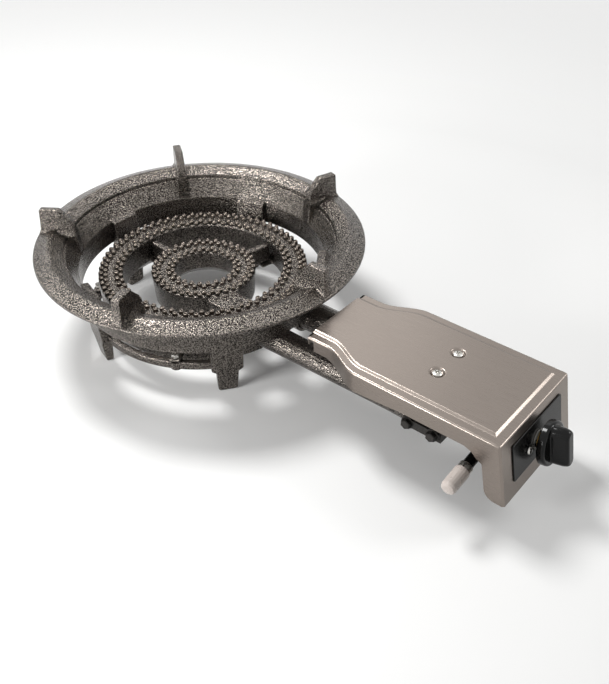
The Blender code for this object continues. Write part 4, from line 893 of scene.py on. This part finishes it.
for x, y in screw_spots:
    hole_ends = (field_top - hole_half, field_top + hole_half)
    hole = skinned([circle_row(dimple_reach - dimple_overlap, z, dimple_steps) for z in hole_ends])
    hole.data.transform(Matrix.Translation((x, y, 0.0)))
    apply_modifier(cover, "BOOLEAN", operation="DIFFERENCE", object=hole, solver="EXACT")
    bpy.data.objects.remove(hole)
    parts.append(spun(dimple_outline, dimple_steps, through=(x, y, 0.0)))
cover = joined("pressed_cover", parts)
smooth_edges(cover, cover_smooth_below)
finish_piece(cover, stainless, "stove", "brushed_stainless", "control_cover")

# ---------------------------------------------------------------- plated screws and bolts
# Steel turned or cold-headed and then zinc plated: bright, a little cloudy. The screws that show
# have pan heads with a cross recess.
zinc_colour = "#BFBDB8"
cloud_size = 0.004
plated, tree, shader = new_material("plated_steel")
place = add_node(tree, "ShaderNodeTexCoord").outputs["Object"]
clouds = add_node(tree, "ShaderNodeTexNoise", {"Vector": place, "Scale": 1 / cloud_size, "Detail": 3.0})
cloudy = add_node(
    tree,
    "ShaderNodeMapRange",
    {"Value": clouds.outputs[0], "From Min": 0.35, "From Max": 0.65, "To Min": 0.20, "To Max": 0.36},
)
tree.links.new(cloudy.outputs[0], shader.inputs["Roughness"])
shader.inputs["Base Color"].default_value = linear(zinc_colour)
shader.inputs["Metallic"].default_value = 1.0
repaint(plated, ("spindle", "spindle_spring", "valve_nut", "inlet_ferrule"))
for family, count in (("arm_screw", 2), ("burner_bolt", 4), ("bracket_screw", 2)):
    repaint(plated, [f"{family}_{number}" for number in range(1, count + 1)])

screw_sides = 32
screw_smooth_below = 30.0


def pan_head_screw(name, radius, height, shank, length, where):
    """A pan-head screw with a cross recess, seated at the origin of the given place."""
    outline = (
        (shank, -length),
        (shank, -0.0002),
        (radius - 0.0003, 0.0),
        (radius, height * 0.25),
        (radius * 0.93, height * 0.60),
        (radius * 0.72, height * 0.90),
        (radius * 0.40, height),
    )
    screw = skinned([circle_row(out, level, screw_sides) for out, level in outline])
    slot_length = radius * 1.15
    slot_width = radius * 0.26
    for long_x, long_y in ((slot_length, slot_width), (slot_width, slot_length)):
        bpy.ops.object.select_all(action="DESELECT")
        bpy.ops.mesh.primitive_cube_add(size=1.0, location=(0.0, 0.0, height))
        slot_tool = bpy.context.object
        slot_tool.scale = (long_x, long_y, height * 1.1)
        apply_modifier(screw, "BOOLEAN", operation="DIFFERENCE", object=slot_tool, solver="EXACT")
        bpy.data.objects.remove(slot_tool)
    screw.data.transform(where)
    screw.name = name
    smooth_edges(screw, screw_smooth_below)
    return screw


# each screw came to rest at a turn of its own
for number, (x, y) in enumerate(screw_spots, 1):
    seat = Matrix.Translation((x, y, field_top - 0.0022)) @ Matrix.Rotation(0.5 + number, 4, "Z")
    screw = pan_head_screw(f"pan_head_screw_{number}", 0.0046, 0.0024, 0.002, 0.005, seat)
    finish_piece(screw, plated, "stove", "plated_steel", f"cover_screw_{number}")

# ---------------------------------------------------------------- front plate
# A thin steel plate stoved in gloss black, with rolled edges. Two screws hold it and the panel to
# the ears of the valve. Behind them sits the spring, which shortens in the stove when the knob is
# pushed in; here it only gets a mesh of its own.
valve_point = Vector((0.0, -0.257196, 0.057398))
lean_from_level = radians(11.459)
valve_lean = Matrix.Rotation(pi / 2 - lean_from_level, 4, "X")
valve_place = Matrix.Translation(valve_point) @ valve_lean
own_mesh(nodes["spindle_spring"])

plate_half = 0.0413
plate_low = -0.016
plate_high = 0.020
plate_seat = 0.0003
plate_sheet = 0.0008
plate_corner = 0.0018
plate_smooth_below = 50.0
plate_screw_x = 0.017
coat_black = "#0B0B0A"
orange_peel_size = 0.0022

# stoved enamel: deep black and glossy, with a faint orange peel
black_coat, tree, shader = new_material("black_coat")
place = add_node(tree, "ShaderNodeTexCoord").outputs["Object"]
orange_peel = add_node(
    tree,
    "ShaderNodeTexNoise",
    {"Vector": place, "Scale": 1 / orange_peel_size, "Detail": 2.0},
)
bump = add_node(
    tree,
    "ShaderNodeBump",
    {"Height": orange_peel.outputs[0], "Strength": 0.12, "Distance": 0.0001},
)
tree.links.new(bump.outputs[0], shader.inputs["Normal"])
shader.inputs["Base Color"].default_value = linear(coat_black)
shader.inputs["Roughness"].default_value = 0.26
shader.inputs["Specular IOR Level"].default_value = 0.25


def rounded_rectangle(half_x, low, high, corner, height, steps=5):
    """A level outline between two heights of the plate, with round corners."""
    points = []
    corners = (
        (half_x - corner, high - corner, 0.0),
        (corner - half_x, high - corner, 90.0),
        (corner - half_x, low + corner, 180.0),
        (half_x - corner, low + corner, 270.0),
    )
    for x, y, start in corners:
        for k in range(steps + 1):
            turn = radians(start + 90.0 * k / steps)
            points.append((x + corner * cos(turn), y + corner * sin(turn), height))
    return points


def plate_row(inset, height):
    """One loop of the plate's skin, set in from its outline."""
    return rounded_rectangle(
        plate_half - inset, plate_low + inset, plate_high - inset, plate_corner - inset, height
    )


plate = skinned(
    [
        plate_row(0.0, plate_seat),
        plate_row(0.0, plate_seat + plate_sheet * 0.55),
        plate_row(0.0002, plate_seat + plate_sheet * 0.9),
        plate_row(0.0006, plate_seat + plate_sheet),
    ]
)
plate.data.transform(valve_place)
plate.name = "front_plate"
smooth_edges(plate, plate_smooth_below)
finish_piece(plate, black_coat, "stove", "black_coat", "panel_plate")
repaint(black_coat, ("gas_inlet_nipple",))

for number, x in enumerate((-plate_screw_x, plate_screw_x), 1):
    seat = valve_place @ Matrix.Translation((x, 0.0, 0.0014)) @ Matrix.Rotation(0.3 * number, 4, "Z")
    screw = pan_head_screw(f"plate_screw_{number}", 0.0032, 0.0021, 0.0019, 0.0117, seat)
    finish_piece(screw, plated, "stove", "plated_steel", f"panel_screw_{number}")

# ---------------------------------------------------------------- knob
# Phenolic moulding in gloss black: a round skirt and a deep bar grip with soft edges. It turns the
# valve, and is pushed in first against the spring.
knob_rear = 0.0084
knob_radius = 0.0195
knob_rim = knob_rear + 0.0068
grip_half = 0.0065
grip_long = 0.0185
grip_height = 0.0145
socket_radius = 0.0034
hub_radius = 0.007
skirt_wall = 0.002
skirt_hollow = 0.0045
knob_steps = 96
knob_grain = 0.0004
knob_softness = 4
phenolic_black = "#060606"
handling_size = 0.006

# moulded phenolic: deep gloss, a little dulled in patches where fingers hold it
phenolic, tree, shader = new_material("gloss_black_phenolic")
place = add_node(tree, "ShaderNodeTexCoord").outputs["Object"]
handling = add_node(
    tree,
    "ShaderNodeTexNoise",
    {"Vector": place, "Scale": 1 / handling_size, "Detail": 4.0},
)
handled = add_node(
    tree,
    "ShaderNodeMapRange",
    {"Value": handling.outputs[0], "From Min": 0.3, "From Max": 0.7, "To Min": 0.08, "To Max": 0.17},
)
tree.links.new(handled.outputs[0], shader.inputs["Roughness"])
shader.inputs["Base Color"].default_value = linear(phenolic_black)
shader.inputs["Specular IOR Level"].default_value = 0.22


def stadium(half_x, half_y, height, steps=10):
    """A bar outline with round ends."""
    points = []
    for middle, start in ((half_y - half_x, 0.0), (half_x - half_y, 180.0)):
        for k in range(steps + 1):
            turn = radians(start + 180.0 * k / steps)
            points.append((half_x * cos(turn), middle + half_x * sin(turn), height))
    return points


knob_outline = (
    (knob_radius, knob_rear),
    (knob_radius, knob_rim - 0.0018),
    (knob_radius - 0.0005, knob_rim - 0.0006),
    (knob_radius - 0.0018, knob_rim),
    (socket_radius, knob_rim),
    (socket_radius, knob_rear + 0.0006),
    (hub_radius, knob_rear + 0.0006),
    (hub_radius, knob_rear + skirt_hollow),
    (knob_radius - skirt_wall, knob_rear + skirt_hollow),
    (knob_radius - skirt_wall, knob_rear),
)
skirt = spun(knob_outline, knob_steps, through=(0.0, 0.0, 0.0))
grip = skinned(
    [
        stadium(grip_half + 0.0010, grip_long, knob_rim - 0.002),
        stadium(grip_half + 0.0003, grip_long, knob_rim + grip_height * 0.25),
        stadium(grip_half - 0.0004, grip_long - 0.0002, knob_rim + grip_height * 0.62),
        stadium(grip_half - 0.0010, grip_long - 0.0012, knob_rim + grip_height * 0.86),
        stadium(grip_half - 0.0018, grip_long - 0.0022, knob_rim + grip_height * 0.96),
        stadium(grip_half - 0.0030, grip_long - 0.0038, knob_rim + grip_height),
    ]
)
knob = joined("knob_moulding", [skirt, grip])
melt(knob, knob_grain, knob_softness)
knob.data.transform(valve_place)
finish_piece(knob, phenolic, "knob", "gloss_black_phenolic", "knob")

# ---------------------------------------------------------------- inlet cap
# A soft vinyl dust cap pushed over the end of the gas nipple. It is milky and slightly pink, lets a
# little light through, and is matt with patches that have been rubbed smoother.
vinyl_white = "#C6BCB5"
rubbed_size = 0.005
vinyl, tree, shader = new_material("milky_vinyl")
place = add_node(tree, "ShaderNodeTexCoord").outputs["Object"]
rubbing = add_node(
    tree,
    "ShaderNodeTexNoise",
    {"Vector": place, "Scale": 1 / rubbed_size, "Detail": 3.0},
)
rubbed = add_node(
    tree,
    "ShaderNodeMapRange",
    {"Value": rubbing.outputs[0], "From Min": 0.3, "From Max": 0.7, "To Min": 0.25, "To Max": 0.42},
)
tree.links.new(rubbed.outputs[0], shader.inputs["Roughness"])
shader.inputs["Base Color"].default_value = linear(vinyl_white)
shader.inputs["Transmission Weight"].default_value = 0.15
shader.inputs["IOR"].default_value = 1.45
repaint(vinyl, ("inlet_cap",))

# ---------------------------------------------------------------- valve, straps and shutters
# The cast valve body, the straps, their bolts, the air shutters and the cover's bracket are
# dipped in thin black paint: half matt, and mottled where it lies thinner. The plug, its bonnet and
# the injectors are turned from brass.
smut_dark = "#141312"
smut_light = "#34302D"
smut_size = 0.003
blackened, tree, shader = new_material("blackened_steel")
place = add_node(tree, "ShaderNodeTexCoord").outputs["Object"]
smuts = add_node(tree, "ShaderNodeTexNoise", {"Vector": place, "Scale": 1 / smut_size, "Detail": 4.0})
smutty = add_node(
    tree,
    "ShaderNodeMapRange",
    {"Value": smuts.outputs[0], "From Min": 0.35, "From Max": 0.65, "To Min": 0.38, "To Max": 0.62},
)
tint = add_node(
    tree,
    "ShaderNodeMix",
    {0: smuts.outputs[0], 6: linear(smut_dark), 7: linear(smut_light)},
    data_type="RGBA",
)
tree.links.new(smutty.outputs[0], shader.inputs["Roughness"])
tree.links.new(tint.outputs[2], shader.inputs["Base Color"])
shader.inputs["Metallic"].default_value = 0.4
repaint(blackened, ("valve_body", "inner_air_shutter", "outer_air_shutter", "cover_bracket"))
repaint(blackened, ("strap_left", "strap_right"))
repaint(blackened, [f"strap_bolt_{number}" for number in range(1, 5)])

# turned brass, gone a little dull: it shines softly, and its yellow varies in patches
tarnished = "#8F7440"
bright_brass = "#C9A860"
tarnish_size = 0.004
brass, tree, shader = new_material("turned_brass")
place = add_node(tree, "ShaderNodeTexCoord").outputs["Object"]
tarnish = add_node(
    tree,
    "ShaderNodeTexNoise",
    {"Vector": place, "Scale": 1 / tarnish_size, "Detail": 3.0},
)
brass_tint = add_node(
    tree,
    "ShaderNodeMix",
    {0: tarnish.outputs[0], 6: linear(tarnished), 7: linear(bright_brass)},
    data_type="RGBA",
)
tree.links.new(brass_tint.outputs[2], shader.inputs["Base Color"])
shader.inputs["Metallic"].default_value = 1.0
shader.inputs["Roughness"].default_value = 0.32
repaint(brass, ("valve_plug", "valve_bonnet", "inner_injector", "outer_injector"))
